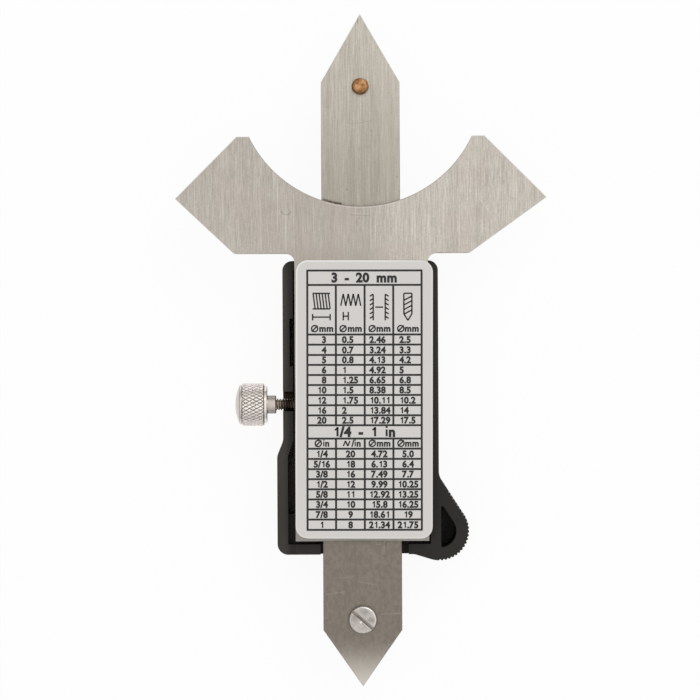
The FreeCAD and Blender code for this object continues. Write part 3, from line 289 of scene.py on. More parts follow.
def turned_steel(name, light, dark, depth=0.004):
    """Small turned or plated steel: fine tool marks and darker spots where oil stays."""
    finish = Finish(name, metallic=1.0)
    marks = finish.cloud((5.0, 5.0, 9.0), 2.0)
    oil = finish.cloud((0.7, 0.7, 0.7), 3.0)
    shade = oil.rise(0.42, 0.72) * 0.7 + marks.rise(0.5, 0.8) * 0.3
    finish.coat(finish.mix(shade, light, dark),
                0.24 + (marks - 0.5) * 0.2 + (oil - 0.4) * 0.3, marks, depth)
    return finish


brass_finish = drawn_brass("drawn_brass", tone(214, 184, 120), tone(158, 122, 66), (6.0, 0.12, 6.0))
small_screw_finish = turned_steel("turned_screw_steel", tone(176, 174, 169), tone(92, 88, 82))
dress("gib_strip", brass_finish)
dress("gib_screws", small_screw_finish)

# The beam: a flat bar of the same stainless steel, its points ground to a sharp edge. It slides, so it
# carries finer and longer lines than the saddle. Its lower end is painted darker with muted lines, and its
# tip bright again, as painted reflections; near the saddle it carries painted shade, towards its top and
# right painted light.
beam_finish = Finish("ground_beam_steel", metallic=1.0)
# Painted reflection: the lower end is painted darker, with muted lines, from here down.
painted_dark_end = beam_finish.y.rise(-8.0, -38.0)
ground_steel(beam_finish, tone(207, 200, 188), tone(171, 164, 153), tone(104, 97, 88), painted_dark_end)
shaded = beam_finish.y.rise(62.0, 33.0) * beam_finish.y.rise(14.0, 29.0)
beam_finish.mark(shaded * 0.42, tone(150, 143, 132))
# Painted light: the upper beam is painted lighter towards its top end and its right side.
painted_light_side = beam_finish.y.rise(30.0, 60.0) * 0.5 + beam_finish.x.rise(3.0, 6.0) * 0.5
beam_finish.mark(painted_light_side * beam_finish.y.rise(20.0, 30.0) * 0.30, tone(216, 209, 197))
wide_band = beam_finish.cloud((1.5, 0.03, 1.5), 1.0).rise(0.40, 0.60)
beam_finish.mark(wide_band * 0.12, tone(122, 114, 103))
dark_end_cloud = beam_finish.cloud((1.5, 1.0, 1.5), 3.0).rise(0.35, 0.65)
dark_end_tone = beam_finish.mix(dark_end_cloud, tone(106, 97, 87), tone(120, 111, 100))
beam_finish.mark(painted_dark_end * 0.80, dark_end_tone)
# Painted reflection: the tip is painted bright again.
tip_shine = beam_finish.y.rise(-58.2, -69.5)
beam_finish.mark(tip_shine * 0.95, tone(214, 207, 198))
for start, end, share in (((-7.3, -49.5), (-3.6, -49.0), 0.11), ((3.6, -53.6), (7.8, -53.4), 0.11),
                          ((-7.5, 47.0), (-4.4, 48.2), 0.08), ((2.6, -39.4), (3.7, -39.4), 0.11),
                          ((4.4, -38.6), (4.4, -41.4), 0.11), ((-4.5, -46.2), (-1.8, -45.9), 0.07),
                          ((-0.9, -47.0), (2.9, -47.6), 0.06)):
    beam_finish.mark(beam_finish.scratch(start, end, 0.16) * share, tone(226, 220, 210))
for start, end, share in (((-0.4, 68.1), (-0.4, 66.3), 0.45), ((-2.3, 45.9), (2.4, 46.5), 0.16)):
    beam_finish.mark(beam_finish.scratch(start, end, 0.15) * share, tone(90, 82, 74))
dark_lines = beam_finish.cloud((8.0, 0.05, 8.0), 2.0).rise(0.55, 0.66)
dark_lines = dark_lines * (1 - beam_finish.x.rise(-6.6, -4.6)) * beam_finish.y.rise(24.0, 30.0)
beam_finish.mark(dark_lines * 0.30, tone(118, 110, 100))
for spot_x, spot_y, size in ((-2.8, 32.6, 0.28), (7.4, 35.2, 0.22), (2.2, 44.5, 0.18)):
    from_spot = off_centre(beam_finish.x - spot_x, beam_finish.y - spot_y)
    beam_finish.mark((1 - from_spot.rise(size * 0.3, size)) * 0.5, tone(104, 96, 88))
beam_front, beam_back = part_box("beam")[0].z / MM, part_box("beam")[1].z / MM
back_face = beam_finish.z > (beam_front + beam_back) / 2
under_arc = from_arc_centre(beam_finish)
smear = under_arc.rise(ARC_RADIUS - 0.95, ARC_RADIUS - 0.45)
smear = smear * (1 - under_arc.rise(ARC_RADIUS - 0.1, ARC_RADIUS + 0.1))
smear = smear * (1 - abs(beam_finish.x + 5.6).rise(1.5, 2.6))
ragged = beam_finish.cloud((1.3, 2.2, 1.3), 3.0).rise(0.40, 0.56)
beam_finish.mark(smear * ragged * back_face * 0.85, tone(52, 46, 40))
# Painted shade: a thin dark line on the beam along the saddle's arc edge.
arc_contact_shade = under_arc.rise(ARC_RADIUS - 0.6, ARC_RADIUS - 0.2)
arc_contact_shade = arc_contact_shade * (1 - under_arc.rise(ARC_RADIUS, ARC_RADIUS + 0.2))
beam_finish.mark(arc_contact_shade * (beam_finish.y < 36.0) * back_face * 0.35, tone(70, 62, 54))
screw_place = (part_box("stop_screw")[0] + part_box("stop_screw")[1]) / 2 / MM
from_screw = off_centre(beam_finish.x - screw_place.x, beam_finish.y - screw_place.y)
# Painted shade: a dark ring on the beam around the screw head.
shade_around_screw = 1 - from_screw.rise(2.8, 3.15)
beam_finish.mark(shade_around_screw * back_face * 0.45, tone(84, 76, 66))
dress("beam", beam_finish)

# The scale strip in the beam's bed: a thin board with a row of copper bars, and the dark satin film that
# seals it. Neither shows from the back.
strip_finish = Finish("etched_scale_board", roughness=0.35)
scale_pitch = 0.508
bars = (strip_finish.y * (2 * math.pi / scale_pitch)).wave().rise(-0.3, 0.3)
weave = strip_finish.cloud((4.0, 4.0, 4.0), 2.0)
strip_finish.set("Base Color", strip_finish.mix(bars, tone(58, 62, 30), tone(190, 132, 74)))
strip_finish.set("Metallic", bars * 0.9)
strip_finish.set("Roughness", 0.3 + (weave - 0.5) * 0.3)
strip_finish.relief(bars + weave * 0.2, 0.03)
dress("scale_strip", strip_finish)

film_finish = Finish("satin_scale_film", roughness=0.38)
drag = film_finish.cloud((3.0, 0.06, 3.0), 2.0)
dust = film_finish.cloud((1.5, 1.5, 1.5), 4.0)
film_finish.set("Base Color", film_finish.mix(drag.rise(0.5, 0.75) * 0.5 + dust.rise(0.6, 0.8) * 0.4,
                                              tone(28, 28, 30), tone(70, 70, 72)))
film_finish.set("Roughness", 0.34 + (drag - 0.5) * 0.4)
film_finish.relief(dust, 0.004)
dress("scale_film", film_finish)

# The stop pin near the upper point: a copper rivet driven through the beam, so that its head is a low,
# uneven dome with hammer facets. Its rim is painted dark as painted shade, darkest on the lower left, away
# from the lamp.
def alone(piece=None):
    """Selects one piece, or nothing."""
    bpy.ops.object.select_all(action="DESELECT")
    if piece:
        piece.select_set(True)
        bpy.context.view_layer.objects.active = piece


def settle(piece, name):
    """Names a new piece and puts its place into its mesh."""
    alone(piece)
    bpy.ops.object.transform_apply(location=True, rotation=True, scale=True)
    piece.name = name
    piece.data.name = name
    return piece


def open_mesh():
    """Opens the active piece's mesh, with all of it selected."""
    bpy.ops.object.mode_set(mode="EDIT")
    bpy.ops.mesh.select_all(action="SELECT")


def turned(name, stations, centre, along_x=False, sides=64):
    """Turns a body: a disc at the first station, then one extrusion to each next (place, radius)."""
    start, radius = stations[0]
    middle = Vector(centre) * MM
    turn = (0, math.radians(90), 0) if along_x else (0, 0, 0)
    step = Vector((1, 0, 0)) if along_x else Vector((0, 0, 1))
    spot = middle + step * start * MM
    alone()
    bpy.ops.mesh.primitive_circle_add(vertices=sides, radius=radius * MM, fill_type="NGON",
                                      location=spot, rotation=turn)
    piece = settle(bpy.context.active_object, name)
    open_mesh()
    for place, size in stations[1:]:
        move = step * (place - start) * MM
        spot = middle + step * place * MM
        share = size / radius
        bpy.ops.mesh.extrude_region_move(TRANSFORM_OT_translate={"value": move})
        grow = (1, share, share) if along_x else (share, share, 1)
        bpy.ops.transform.resize(value=grow, center_override=spot)
        start, radius = place, size
    bpy.ops.mesh.select_all(action="SELECT")
    bpy.ops.mesh.normals_make_consistent(inside=False)
    bpy.ops.object.mode_set(mode="OBJECT")
    bpy.ops.object.shade_smooth_by_angle(angle=math.radians(35))
    return piece


pin_y = (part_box("stop_pin")[0].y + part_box("stop_pin")[1].y) / 2 / MM
pin_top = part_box("stop_pin")[1].z / MM
pin_radius, hole_radius, crown = 1.70, 1.62, 0.75
pin_stations = [(beam_front, hole_radius), (beam_back, hole_radius), (beam_back + 0.02, pin_radius)]
pin_stations.append((pin_top - crown, pin_radius))
for ring in range(1, 9):
    lean = math.radians(ring * 10)
    height = pin_top - crown + crown * math.sin(lean)
    pin_stations.append((height, crown + (pin_radius - crown) * math.cos(lean)))
pin_stations += [(pin_top - 0.004, 0.6), (pin_top, 0.2)]
pin = turned("stop_pin_head", pin_stations, (0, pin_y, 0), sides=48)
for corner in pin.data.vertices:
    if corner.co.z > (beam_back + 0.3) * MM:
        dent = noise.noise(Vector(corner.co) / (1.1 * MM)) * 0.20 * MM
        outward = Vector((corner.co.x, corner.co.y - pin_y * MM, 0))
        corner.co += outward.normalized() * dent * 0.9
        corner.co.z -= abs(dent) * 0.9
        corner.co.x *= 1.03
        corner.co.y = pin_y * MM + (corner.co.y - pin_y * MM) * 0.91
pin_finish = Finish("hammered_copper", metallic=1.0)
facets = pin_finish.node("ShaderNodeTexVoronoi", {"feature": "SMOOTH_F1"},
                         {"Vector": pin_finish.mm, "Scale": 1.5})
tarnish = pin_finish.cloud((1.4, 1.4, 1.4), 3.0)
# Painted shade: the rim is darkest on the lower left, away from the lamp.
rim = off_centre(pin_finish.x, pin_finish.y - pin_y).rise(1.25, 1.72)
rim_shade_side = 0.06 + (pin_finish.x + pin_finish.y - pin_y).rise(1.2, -1.6) * 0.72
copper = pin_finish.mix(tarnish.rise(0.36, 0.62), tone(197, 150, 106), tone(168, 120, 78))
pin_finish.coat(pin_finish.mix(rim * rim_shade_side, copper, tone(98, 60, 34)),
                0.46 + tarnish.rise(0.4, 0.8) * 0.25, facets, 0.12)
pin.data.materials.append(pin_finish.material)
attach(pin, "measuring_beam")
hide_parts("stop_pin")

# The stop screw near the lower point: a cheese-head screw, nickel plated, its slot left where tightening
# ended. The plating is matt on the face. Painted on it: a highlight on the rim towards the lamp, a glint and
# dark reflections on the face, and in the slot shade along one wall and light at its ends.
screw_low, screw_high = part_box("stop_screw")
screw_y = (screw_low.y + screw_high.y) / 2 / MM
screw_top = screw_high.z / MM
shank_radius, head_radius, head_round, face_groove = 1.45, 2.75, 0.3, 28.0
screw_stations = [(screw_low.z / MM, shank_radius), (beam_back, shank_radius),
                  (beam_back + 0.001, head_radius - 0.07), (beam_back + 0.06, head_radius)]
for ring in range(7):
    lean = math.radians(ring * 15)
    height = screw_top - head_round + head_round * math.sin(lean)
    screw_stations.append((height, head_radius - head_round + head_round * math.cos(lean)))
screw = turned("stop_screw_head", screw_stations, (0, screw_y, 0), sides=96)
slot_width, slot_turn = 0.62, 49
slot_size = Vector((slot_width, 7.0, 1.8)) * MM
alone()
bpy.ops.mesh.primitive_cube_add(size=1, location=(0, screw_y * MM, screw_top * MM),
                                rotation=(0, 0, math.radians(slot_turn)), scale=slot_size)
cutter = settle(bpy.context.active_object, "slot_cutter")
alone(screw)
cut = screw.modifiers.new("slot", "BOOLEAN")
cut.operation = "DIFFERENCE"
cut.object = cutter
bpy.ops.object.modifier_apply(modifier=cut.name)
bpy.data.objects.remove(cutter)
bpy.ops.object.shade_smooth_by_angle(angle=math.radians(35))
screw_finish = Finish("nickel_screw_plating", metallic=1.0)
swirl_x = screw_finish.x
swirl_y = screw_finish.y - screw_y
from_axis = off_centre(swirl_x, swirl_y)
rings = (from_axis * face_groove).wave() * 0.5 + 0.5
grime = screw_finish.cloud((1.2, 1.2, 1.2), 3.0)
slot_lean = math.radians(slot_turn - 90)
off_axis = swirl_y * math.cos(slot_lean) - swirl_x * math.sin(slot_lean)
sunk = (1 - screw_finish.z.rise(screw_top - 0.5, screw_top - 0.05)) * (abs(off_axis) < slot_width / 2 + 0.02)
wall = 1 - screw_finish.upright().rise(0.2, 0.9)
across_face = (swirl_x * 9.0 + swirl_y * 9.0 + grime * 5.0).wave() * 0.5 + 0.5
shade = grime.rise(0.40, 0.68) * 0.25 + across_face * 0.22
colour = screw_finish.mix(shade, tone(202, 194, 189), tone(140, 132, 125))
# Painted reflections: three soft dark grey patches on the face.
for spot_x, spot_y, size in ((0.35, 1.6, 1.2), (-1.7, 0.35, 1.3), (1.7, 0.0, 1.0)):
    from_spot = off_centre(swirl_x - spot_x, swirl_y - spot_y)
    colour = screw_finish.mix((1 - from_spot.rise(0.1, size)) * 0.55, colour, tone(138, 136, 132))
# Painted highlight: the rim is painted near white, strongest towards the lamp at the upper right.
to_light = 0.3 + (swirl_x + swirl_y).rise(0.0, 3.0) * 0.6
colour = screw_finish.mix(from_axis.rise(2.35, 2.6) * (1 - sunk) * to_light, colour, tone(246, 243, 238))
# Painted glint: a small bright spot on the face beside the slot.
glint_spot = off_centre(swirl_x + 0.42, swirl_y + 0.46)
colour = screw_finish.mix((1 - glint_spot.rise(0.08, 0.34)) * (1 - sunk) * 0.8, colour, tone(250, 247, 242))
# Painted shade and light in the slot: dark along one wall, lighter at its two ends.
along_slot = swirl_x * math.cos(slot_lean) + swirl_y * math.sin(slot_lean)
slot_light_and_shade = screw_finish.mix(off_axis.rise(-0.16, 0.04), tone(50, 42, 35), tone(104, 95, 86))
slot_light_and_shade = screw_finish.mix((1 - along_slot.rise(-2.2, -0.9)) * 0.6, slot_light_and_shade, tone(156, 147, 138))
slot_light_and_shade = screw_finish.mix(along_slot.rise(1.0, 1.9) * 0.4, slot_light_and_shade, tone(150, 142, 134))
colour = screw_finish.mix(sunk * 0.6 + sunk * wall * 0.4, colour, slot_light_and_shade)
screw_finish.coat(colour,
                  0.30 + (grime - 0.45) * 0.3, rings * 0.5 + grime, 0.008)
screw.data.materials.append(screw_finish.material)
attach(screw, "measuring_beam")
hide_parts("stop_screw")

# The circuit board with its display: green board, the display glass in a white holder, and two striped
# rubber strips that carry current between them. Two small screws hold the board to the rails.
board_finish = Finish("solder_mask_green", roughness=0.3)
tracks = board_finish.node("ShaderNodeTexVoronoi", {"feature": "DISTANCE_TO_EDGE", "distance": "MANHATTAN"},
                           {"Vector": board_finish.mm, "Scale": 0.45})
copper_below = 1 - tracks.rise(0.02, 0.05)
fibres = board_finish.cloud((3.0, 3.0, 3.0), 2.0)
shade = copper_below * 0.7 + fibres * 0.2
board_finish.coat(board_finish.mix(shade, tone(18, 78, 42), tone(52, 128, 62)),
                  0.26 + (fibres - 0.5) * 0.2, copper_below + fibres * 0.1, 0.02)
dress("circuit_board", board_finish)
dress("board_screws", small_screw_finish)

glass_finish = Finish("display_glass", roughness=0.12)
film_grain = glass_finish.cloud((5.0, 5.0, 5.0), 2.0)
fade = glass_finish.cloud((0.06, 0.06, 0.06), 1.0)
shade = fade * 0.5 + film_grain * 0.2
glass_finish.coat(glass_finish.mix(shade, tone(196, 202, 188), tone(164, 172, 156)),
                  0.12 + film_grain * 0.12, film_grain, 0.001)
dress("lcd_panel", glass_finish)


def moulded(name, light, dark, roughness, grain_depth):
    """Moulded plastic: fine grain, slow clouds where it is polished by hands, and a few scuffs."""
    finish = Finish(name)
    grain = finish.cloud((7.0, 7.0, 7.0), 2.0)
    flow = finish.cloud((0.15, 0.15, 0.15), 2.0)
    scuff = finish.cloud((0.5, 2.4, 0.5), 3.0).rise(0.66, 0.74)
    finish.coat(finish.mix(flow.rise(0.3, 0.7) * 0.5 + grain * 0.3 + scuff * 0.25, dark, light),
                roughness + (flow - 0.5) * 0.25 + (grain - 0.5) * 0.2 - scuff * 0.08,
                grain - scuff * 0.3, grain_depth)
    return finish


holder_finish = moulded("white_holder", tone(226, 226, 218), tone(206, 205, 196), 0.5, 0.008)
dress("lcd_frame", holder_finish)

strip_rubber = Finish("striped_contact_rubber", roughness=0.6)
stripe_pitch = 0.25
stripes = (strip_rubber.x * (2 * math.pi / stripe_pitch)).wave().rise(-0.2, 0.2)
soft = strip_rubber.cloud((2.0, 2.0, 2.0), 2.0)
strip_rubber.coat(strip_rubber.mix(stripes, tone(176, 170, 164), tone(40, 40, 42)),
                  0.55 + (soft - 0.5) * 0.3, stripes + soft, 0.01)
dress("zebra_connectors", strip_rubber)

# The reading on the display: three noughts, a point and the unit, dark on the glass as when it is on.
# Each figure is made of six thin bars, bevelled at their edges and copied from one.
def joined(pieces, name):
    """Makes one piece of several."""
    alone(pieces[0])
    for piece in pieces:
        piece.select_set(True)
    bpy.ops.object.join()
    whole = bpy.context.active_object
    whole.name = name
    whole.data.name = name
    return whole


def place_mesh(piece, place):
    """Puts a placing matrix into a piece's mesh."""
    piece.data.transform(place)
    piece.matrix_world = Matrix.Identity(4)
    return piece


def copied(piece, place):
    """A copy with a mesh of its own, put in its place."""
    twin = piece.copy()
    twin.data = piece.data.copy()
    bpy.context.collection.objects.link(twin)
    return place_mesh(twin, place)


DIGIT_SHARE = 0.70


def text_piece(words, height, align, thickness, bolder=0.0):
    """Letters as a mesh, height for a digit, standing on the origin's plane."""
    alone()
    bpy.ops.object.text_add(location=(0, 0, 0))
    letters = bpy.context.active_object
    letters.data.body = words
    letters.data.align_x = align
    letters.data.size = height / DIGIT_SHARE * MM
    letters.data.resolution_u = 3
    letters.data.offset = bolder * MM
    letters.data.extrude = thickness / 2 * MM
    alone(letters)
    bpy.ops.object.convert(target="MESH")
    letters = bpy.context.active_object
    letters.data.transform(Matrix.Translation((0, 0, thickness / 2 * MM)))
    return letters


def bevel_edges(size):
    """Takes the sharpness off all edges of the active piece."""
    open_mesh()
    bpy.ops.mesh.bevel(offset=size * MM, segments=1)
    bpy.ops.object.mode_set(mode="OBJECT")


glass_low, glass_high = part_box("lcd_panel")
window_y = (glass_low.y + glass_high.y) / 2 / MM
digit_height, digit_width, bar_width, bar_rise, bar_bevel = 6.4, 3.3, 0.80, 0.03, 0.004
alone()
bpy.ops.mesh.primitive_cylinder_add(vertices=6, radius=bar_width / math.sqrt(3) * MM, depth=bar_rise * MM,
                                    rotation=(0, 0, math.radians(90)))
bar = settle(bpy.context.active_object, "digit_bar")
bevel_edges(bar_bevel)
half_bar = max(corner.co.x for corner in bar.data.vertices)
if half_bar < bar_width * 0.52 * MM:
    bar.data.transform(Matrix.Rotation(math.radians(90), 4, "Z"))
bar_length = digit_height / 2 - bar_width * 0.62
for corner in bar.data.vertices:
    corner.co.x += math.copysign((bar_length - bar_width) / 2 * MM, corner.co.x)
to_front = Matrix.Translation((0, window_y * MM, glass_low.z)) @ Matrix.Rotation(math.radians(180), 4, "Y")
bars_on = []
for left in (-9.2, -3.6, 2.0):
    half, quarter = digit_width / 2, digit_height / 4
    spots = [(half, digit_height / 2, 0), (half, -digit_height / 2, 0)]
    spots += [(0, quarter, 90), (0, -quarter, 90), (digit_width, quarter, 90), (digit_width, -quarter, 90)]
    for across, up, turn in spots:
        lay = Matrix.Translation(((left + across) * MM, up * MM, bar_rise / 2 * MM))
        bars_on.append(copied(bar, to_front @ lay @ Matrix.Rotation(math.radians(turn), 4, "Z")))
line_height = -digit_height / 2 * MM
alone()
bpy.ops.mesh.primitive_cylinder_add(vertices=12, radius=0.4 * MM, depth=bar_rise * MM)
point = settle(bpy.context.active_object, "digit_point")
bevel_edges(bar_bevel)
point_place = Matrix.Translation((-4.75 * MM, line_height, bar_rise / 2 * MM))
bars_on.append(place_mesh(point, to_front @ point_place))
unit = text_piece("mm", 1.9, "LEFT", bar_rise, 0.05)
bars_on.append(place_mesh(unit, to_front @ Matrix.Translation((6.5 * MM, line_height, 0))))
bpy.data.objects.remove(bar)
reading = joined(bars_on, "display_reading")
reading_finish = Finish("display_segments", roughness=0.25)
ink = reading_finish.cloud((3.0, 3.0, 3.0), 2.0)
reading_finish.set("Base Color", reading_finish.mix(ink, tone(16, 18, 20), tone(30, 32, 34)))
reading_finish.set("Roughness", 0.2 + ink * 0.2)
reading.data.materials.append(reading_finish.material)
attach(reading, "slider")

# The housing: one black moulding with posts, battery cup and thumb rest, screwed on from the plate's side.
# Its fine grain carries polished scuffs here and there; its recesses and left rim carry painted light and
# shade.
housing_finish = Finish("black_housing_moulding")
housing_finish.shader.inputs["Specular IOR Level"].default_value = 0.2
grain = housing_finish.cloud((6.0, 6.0, 6.0), 2.0)
flow = housing_finish.cloud((0.10, 0.10, 0.10), 2.0)
lint = housing_finish.cloud((2.2, 2.2, 2.2), 4.0, 0.6).rise(0.70, 0.80)
scuff = housing_finish.cloud((0.4, 3.0, 0.4), 3.0).rise(0.66, 0.76)
black = housing_finish.mix(flow.rise(0.3, 0.7) * 0.6 + scuff * 0.5, tone(42, 38, 34), tone(55, 51, 47))
black = housing_finish.mix(housing_finish.x.rise(-12.0, 16.0) * 0.5, black, tone(33, 34, 31))
black = housing_finish.mix(housing_finish.y.rise(-30.0, 0.0) * 0.12, black, tone(92, 89, 82))
rim_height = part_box("housing_shell")[1].z / MM
# Painted shade and light on upward faces inside the recesses: very dark just below the rim, lighter further
# down, lightest on the deepest floors at the left.
inside = (housing_finish.looks_up() > 0.3) * (1 - housing_finish.z.rise(rim_height - 0.8, rim_height - 0.4))
depth = housing_finish.mix(housing_finish.x.rise(0.0, 10.0), tone(112, 104, 92), tone(48, 43, 36))
shelf = housing_finish.mix(housing_finish.y.rise(-30.0, -20.0), tone(32, 27, 23), tone(74, 63, 50))
depth = housing_finish.mix(housing_finish.z.rise(rim_height - 5.0, rim_height - 4.0), depth, shelf)
near_rim = housing_finish.z.rise(rim_height - 2.6, rim_height - 1.4)
recess_light_and_shade = housing_finish.mix(near_rim, depth, tone(20, 18, 15))
# Painted light and shade on the left rim's top: lighter on its outer half, darker on its inner half.
rim_face = housing_finish.z.rise(rim_height - 0.4, rim_height - 0.1) * (housing_finish.x < -13.5)
across_rim = housing_finish.x.rise(-15.9, -14.1)
black = housing_finish.mix(rim_face * (1 - across_rim) * 0.14, black, tone(112, 108, 102))
black = housing_finish.mix(rim_face * across_rim * 0.30, black, tone(20, 18, 16))
black = housing_finish.mix(inside, black, recess_light_and_shade)
housing_finish.coat(housing_finish.mix(lint * 0.5, black, tone(112, 108, 102)),
                    0.42 + (flow - 0.5) * 0.3 + (grain - 0.5) * 0.2 - scuff * 0.1, grain, 0.010)
dress("housing_shell", housing_finish)

lens_finish = Finish("clear_lens", roughness=0.06)
wipe = lens_finish.cloud((0.5, 2.5, 0.5), 3.0)
lens_finish.set("Base Color", lens_finish.mix(wipe, tone(232, 238, 240), tone(214, 222, 224)))
lens_finish.set("Roughness", 0.04 + wipe.rise(0.5, 0.8) * 0.12)
lens_finish.set("Alpha", 0.16 + wipe.rise(0.55, 0.8) * 0.06)
lens_finish.shader.inputs["IOR"].default_value = 1.49
dress("lcd_window", lens_finish)

# The four housing screws: zinc plated steel, countersunk. They draw the housing to the plate, and the
# label that is glued on last hides them.
housing_screw_finish = turned_steel("zinc_screw_steel", tone(184, 182, 176), tone(110, 106, 98))
dress("housing_screws", housing_screw_finish)

# Three soft keys, moulded with their stems, over snap domes of spring steel. Each carries a plain sign
# printed in white on its face: a switch sign, a nought, and the units.
dome_finish = turned_steel("dome_spring_steel", tone(206, 204, 198), tone(150, 146, 140), 0.002)
dress("button_domes", dome_finish)
key_colours = {
    "button_power": (tone(186, 58, 46), tone(150, 40, 32)),
    "button_zero": (tone(220, 178, 62), tone(188, 146, 44)),
    "button_unit": (tone(154, 156, 156), tone(128, 130, 130)),
}
for name, (light, dark) in key_colours.items():
    dress(name, moulded(name + "_rubber", light, dark, 0.55, 0.012))
sign_finish = Finish("key_sign_print", roughness=0.5)
sign_wear = sign_finish.cloud((4.0, 4.0, 4.0), 3.0)
sign_finish.set("Base Color", sign_finish.mix(sign_wear, tone(236, 236, 232), tone(206, 206, 202)))
sign_finish.set("Roughness", 0.4 + sign_wear * 0.2)
sign_rise = 0.04


def key_place(node):
    """Where a sign lies on a key's face, to be read from the display side."""
    low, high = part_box(node)
    middle = (low + high) / 2
    return Matrix.Translation((middle.x, middle.y, low.z)) @ Matrix.Rotation(math.radians(180), 4, "Y")


def ring_piece(radius, width, thickness, sides=40):
    """A flat ring, rounded a little at its edge."""
    alone()
    bpy.ops.mesh.primitive_torus_add(major_radius=radius * MM, minor_radius=width / 2 * MM,
                                     major_segments=sides, minor_segments=8)
    ring = settle(bpy.context.active_object, "ring")
    flat = Matrix.Diagonal((1, 1, thickness / width, 1))
    ring.data.transform(Matrix.Translation((0, 0, thickness / 2 * MM)) @ flat)
    return ring


def stroke(start, end, width, thickness):
    """A straight printed line between two points in millimetres."""
    run = Vector(end) - Vector(start)
    alone()
    bpy.ops.mesh.primitive_cube_add(size=1, scale=(run.length * MM, width * MM, thickness * MM))
    line = settle(bpy.context.active_object, "line")
    bevel_edges(min(width, thickness) * 0.2)
    middle = (Vector(start) + Vector(end)) / 2 * MM
    turn = Matrix.Rotation(math.atan2(run.y, run.x), 4, "Z")
    return place_mesh(line, Matrix.Translation((middle.x, middle.y, thickness / 2 * MM)) @ turn)


switch_bar = stroke((0, 0.2), (0, 1.35), 0.3, sign_rise)
power_sign = joined([ring_piece(0.95, 0.28, sign_rise), switch_bar], "power_sign")
place_mesh(power_sign, key_place("button_power"))
zero_sign = text_piece("0", 2.2, "CENTER", sign_rise)
zero_sign.name = "zero_sign"
place_mesh(zero_sign, key_place("button_zero") @ Matrix.Translation((0, -1.1 * MM, 0)))
unit_sign = text_piece("mm/in", 1.35, "CENTER", sign_rise)
unit_sign.name = "unit_sign"
place_mesh(unit_sign, key_place("button_unit") @ Matrix.Translation((0, -0.55 * MM, 0)))
for sign, body, slot in ((power_sign, "power_key", "button_power"), (zero_sign, "zero_key", "button_zero"),
                         (unit_sign, "unit_key", "button_unit")):
    sign.data.materials.append(sign_finish.material)
    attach(sign, body)

# The button cell: its nickel plated case shows faint lathe rings and fingermarks. It lies between two
# plated spring leaves, and a moulded door, slid in on its tongues, closes its cup.
cell_finish = Finish("cell_case_steel", metallic=1.0)
cell_y, lathe_groove = -27.3, 40.0
lathe = (off_centre(cell_finish.x, cell_finish.y - cell_y) * lathe_groove).wave() * 0.5 + 0.5
finger = cell_finish.cloud((0.4, 0.4, 0.4), 3.0)
shade = lathe * 0.25 + finger.rise(0.4, 0.7) * 0.4
cell_finish.coat(cell_finish.mix(shade, tone(206, 206, 204), tone(158, 156, 152)),
                 0.22 + finger * 0.25, lathe, 0.002)
dress("battery", cell_finish)
leaf_finish = turned_steel("plated_leaf_spring", tone(204, 198, 178), tone(158, 150, 128), 0.002)
dress("battery_contact_positive", leaf_finish)
dress("battery_contact_negative", leaf_finish)
door_finish = moulded("black_door_moulding", tone(44, 42, 40), tone(28, 26, 24), 0.44, 0.010)
dress("battery_door", door_finish)

# The label: a sheet of satin aluminium foil on the back plate with a table of thread and drill sizes in
# black print. Its numbers are plain sizes; signs stand for the words of the columns.
label_finish = Finish("satin_label_sheet", roughness=0.5)
paper = label_finish.cloud((5.0, 5.0, 5.0), 3.0)
blotch = label_finish.cloud((0.09, 0.09, 0.09), 2.0)
speck = label_finish.cloud((1.6, 1.6, 1.6), 2.0).rise(0.74, 0.80)
edge_low, edge_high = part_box("label_plate")
sheet_colour = label_finish.mix(paper * 0.5 + blotch * 0.5, tone(221, 218, 214), tone(210, 207, 203))
sheet_colour = label_finish.mix(speck * 0.25, sheet_colour, tone(150, 146, 140))
side = label_finish.upright().rise(0.5, 0.95)
sheet_wide, sheet_high, sheet_radius = 27.7, 56.25, 2.4
sheet_turn = math.radians(-0.35)
from_middle_x = label_finish.x - (edge_low.x + edge_high.x) / 2 / MM
from_middle_y = label_finish.y - (edge_low.y + edge_high.y) / 2 / MM
over = from_middle_x * math.cos(sheet_turn) + from_middle_y * math.sin(sheet_turn)
along = from_middle_y * math.cos(sheet_turn) - from_middle_x * math.sin(sheet_turn)
past_x = abs(over) - (sheet_wide / 2 - sheet_radius)
past_y = abs(along) - (sheet_high / 2 - sheet_radius)
round_x, round_y = past_x.sum("MAXIMUM", past_x, 0.0), past_x.sum("MAXIMUM", past_y, 0.0)
straight = past_x.sum("MINIMUM", past_x.sum("MAXIMUM", past_x, past_y), 0.0)
to_edge = off_centre(round_x, round_y) + straight - sheet_radius
# Painted highlight: a light band just inside the label's edge, strongest towards the upper left.
edge_highlight = to_edge.rise(-0.40, -0.22) * (0.30 + (along * 0.5 - over).rise(0.0, 14.0) * 0.6)
sheet_colour = label_finish.mix(edge_highlight, sheet_colour, tone(240, 237, 234))
label_finish.coat(label_finish.mix(side, tone(158, 152, 144), sheet_colour),
                  0.44 + (paper - 0.5) * 0.3, paper, 0.003)
dress("label_plate", label_finish)

print_place = Matrix.Translation((0.56 * MM, -10.03 * MM, edge_high.z))
print_place = print_place @ Matrix.Rotation(math.radians(-0.23), 4, "Z")
PIXEL = 1 / 4.94
table_middle_x, table_middle_y = 364.25, 399.8
print_rise = 0.02
table_line, sign_line = 0.40, 0.29


def sheet_x(pixels):
    """Across the label, from a distance measured over the table, in millimetres from its middle."""
    return (pixels - table_middle_x) * PIXEL


def sheet_y(pixels):
    return (table_middle_y - pixels) * PIXEL


def table_stroke(start, end, width, thickness=print_rise):
    """A printed line of the table, from places measured over it."""
    ends = [(sheet_x(x), sheet_y(y)) for x, y in (start, end)]
    return stroke(*ends, width, thickness)


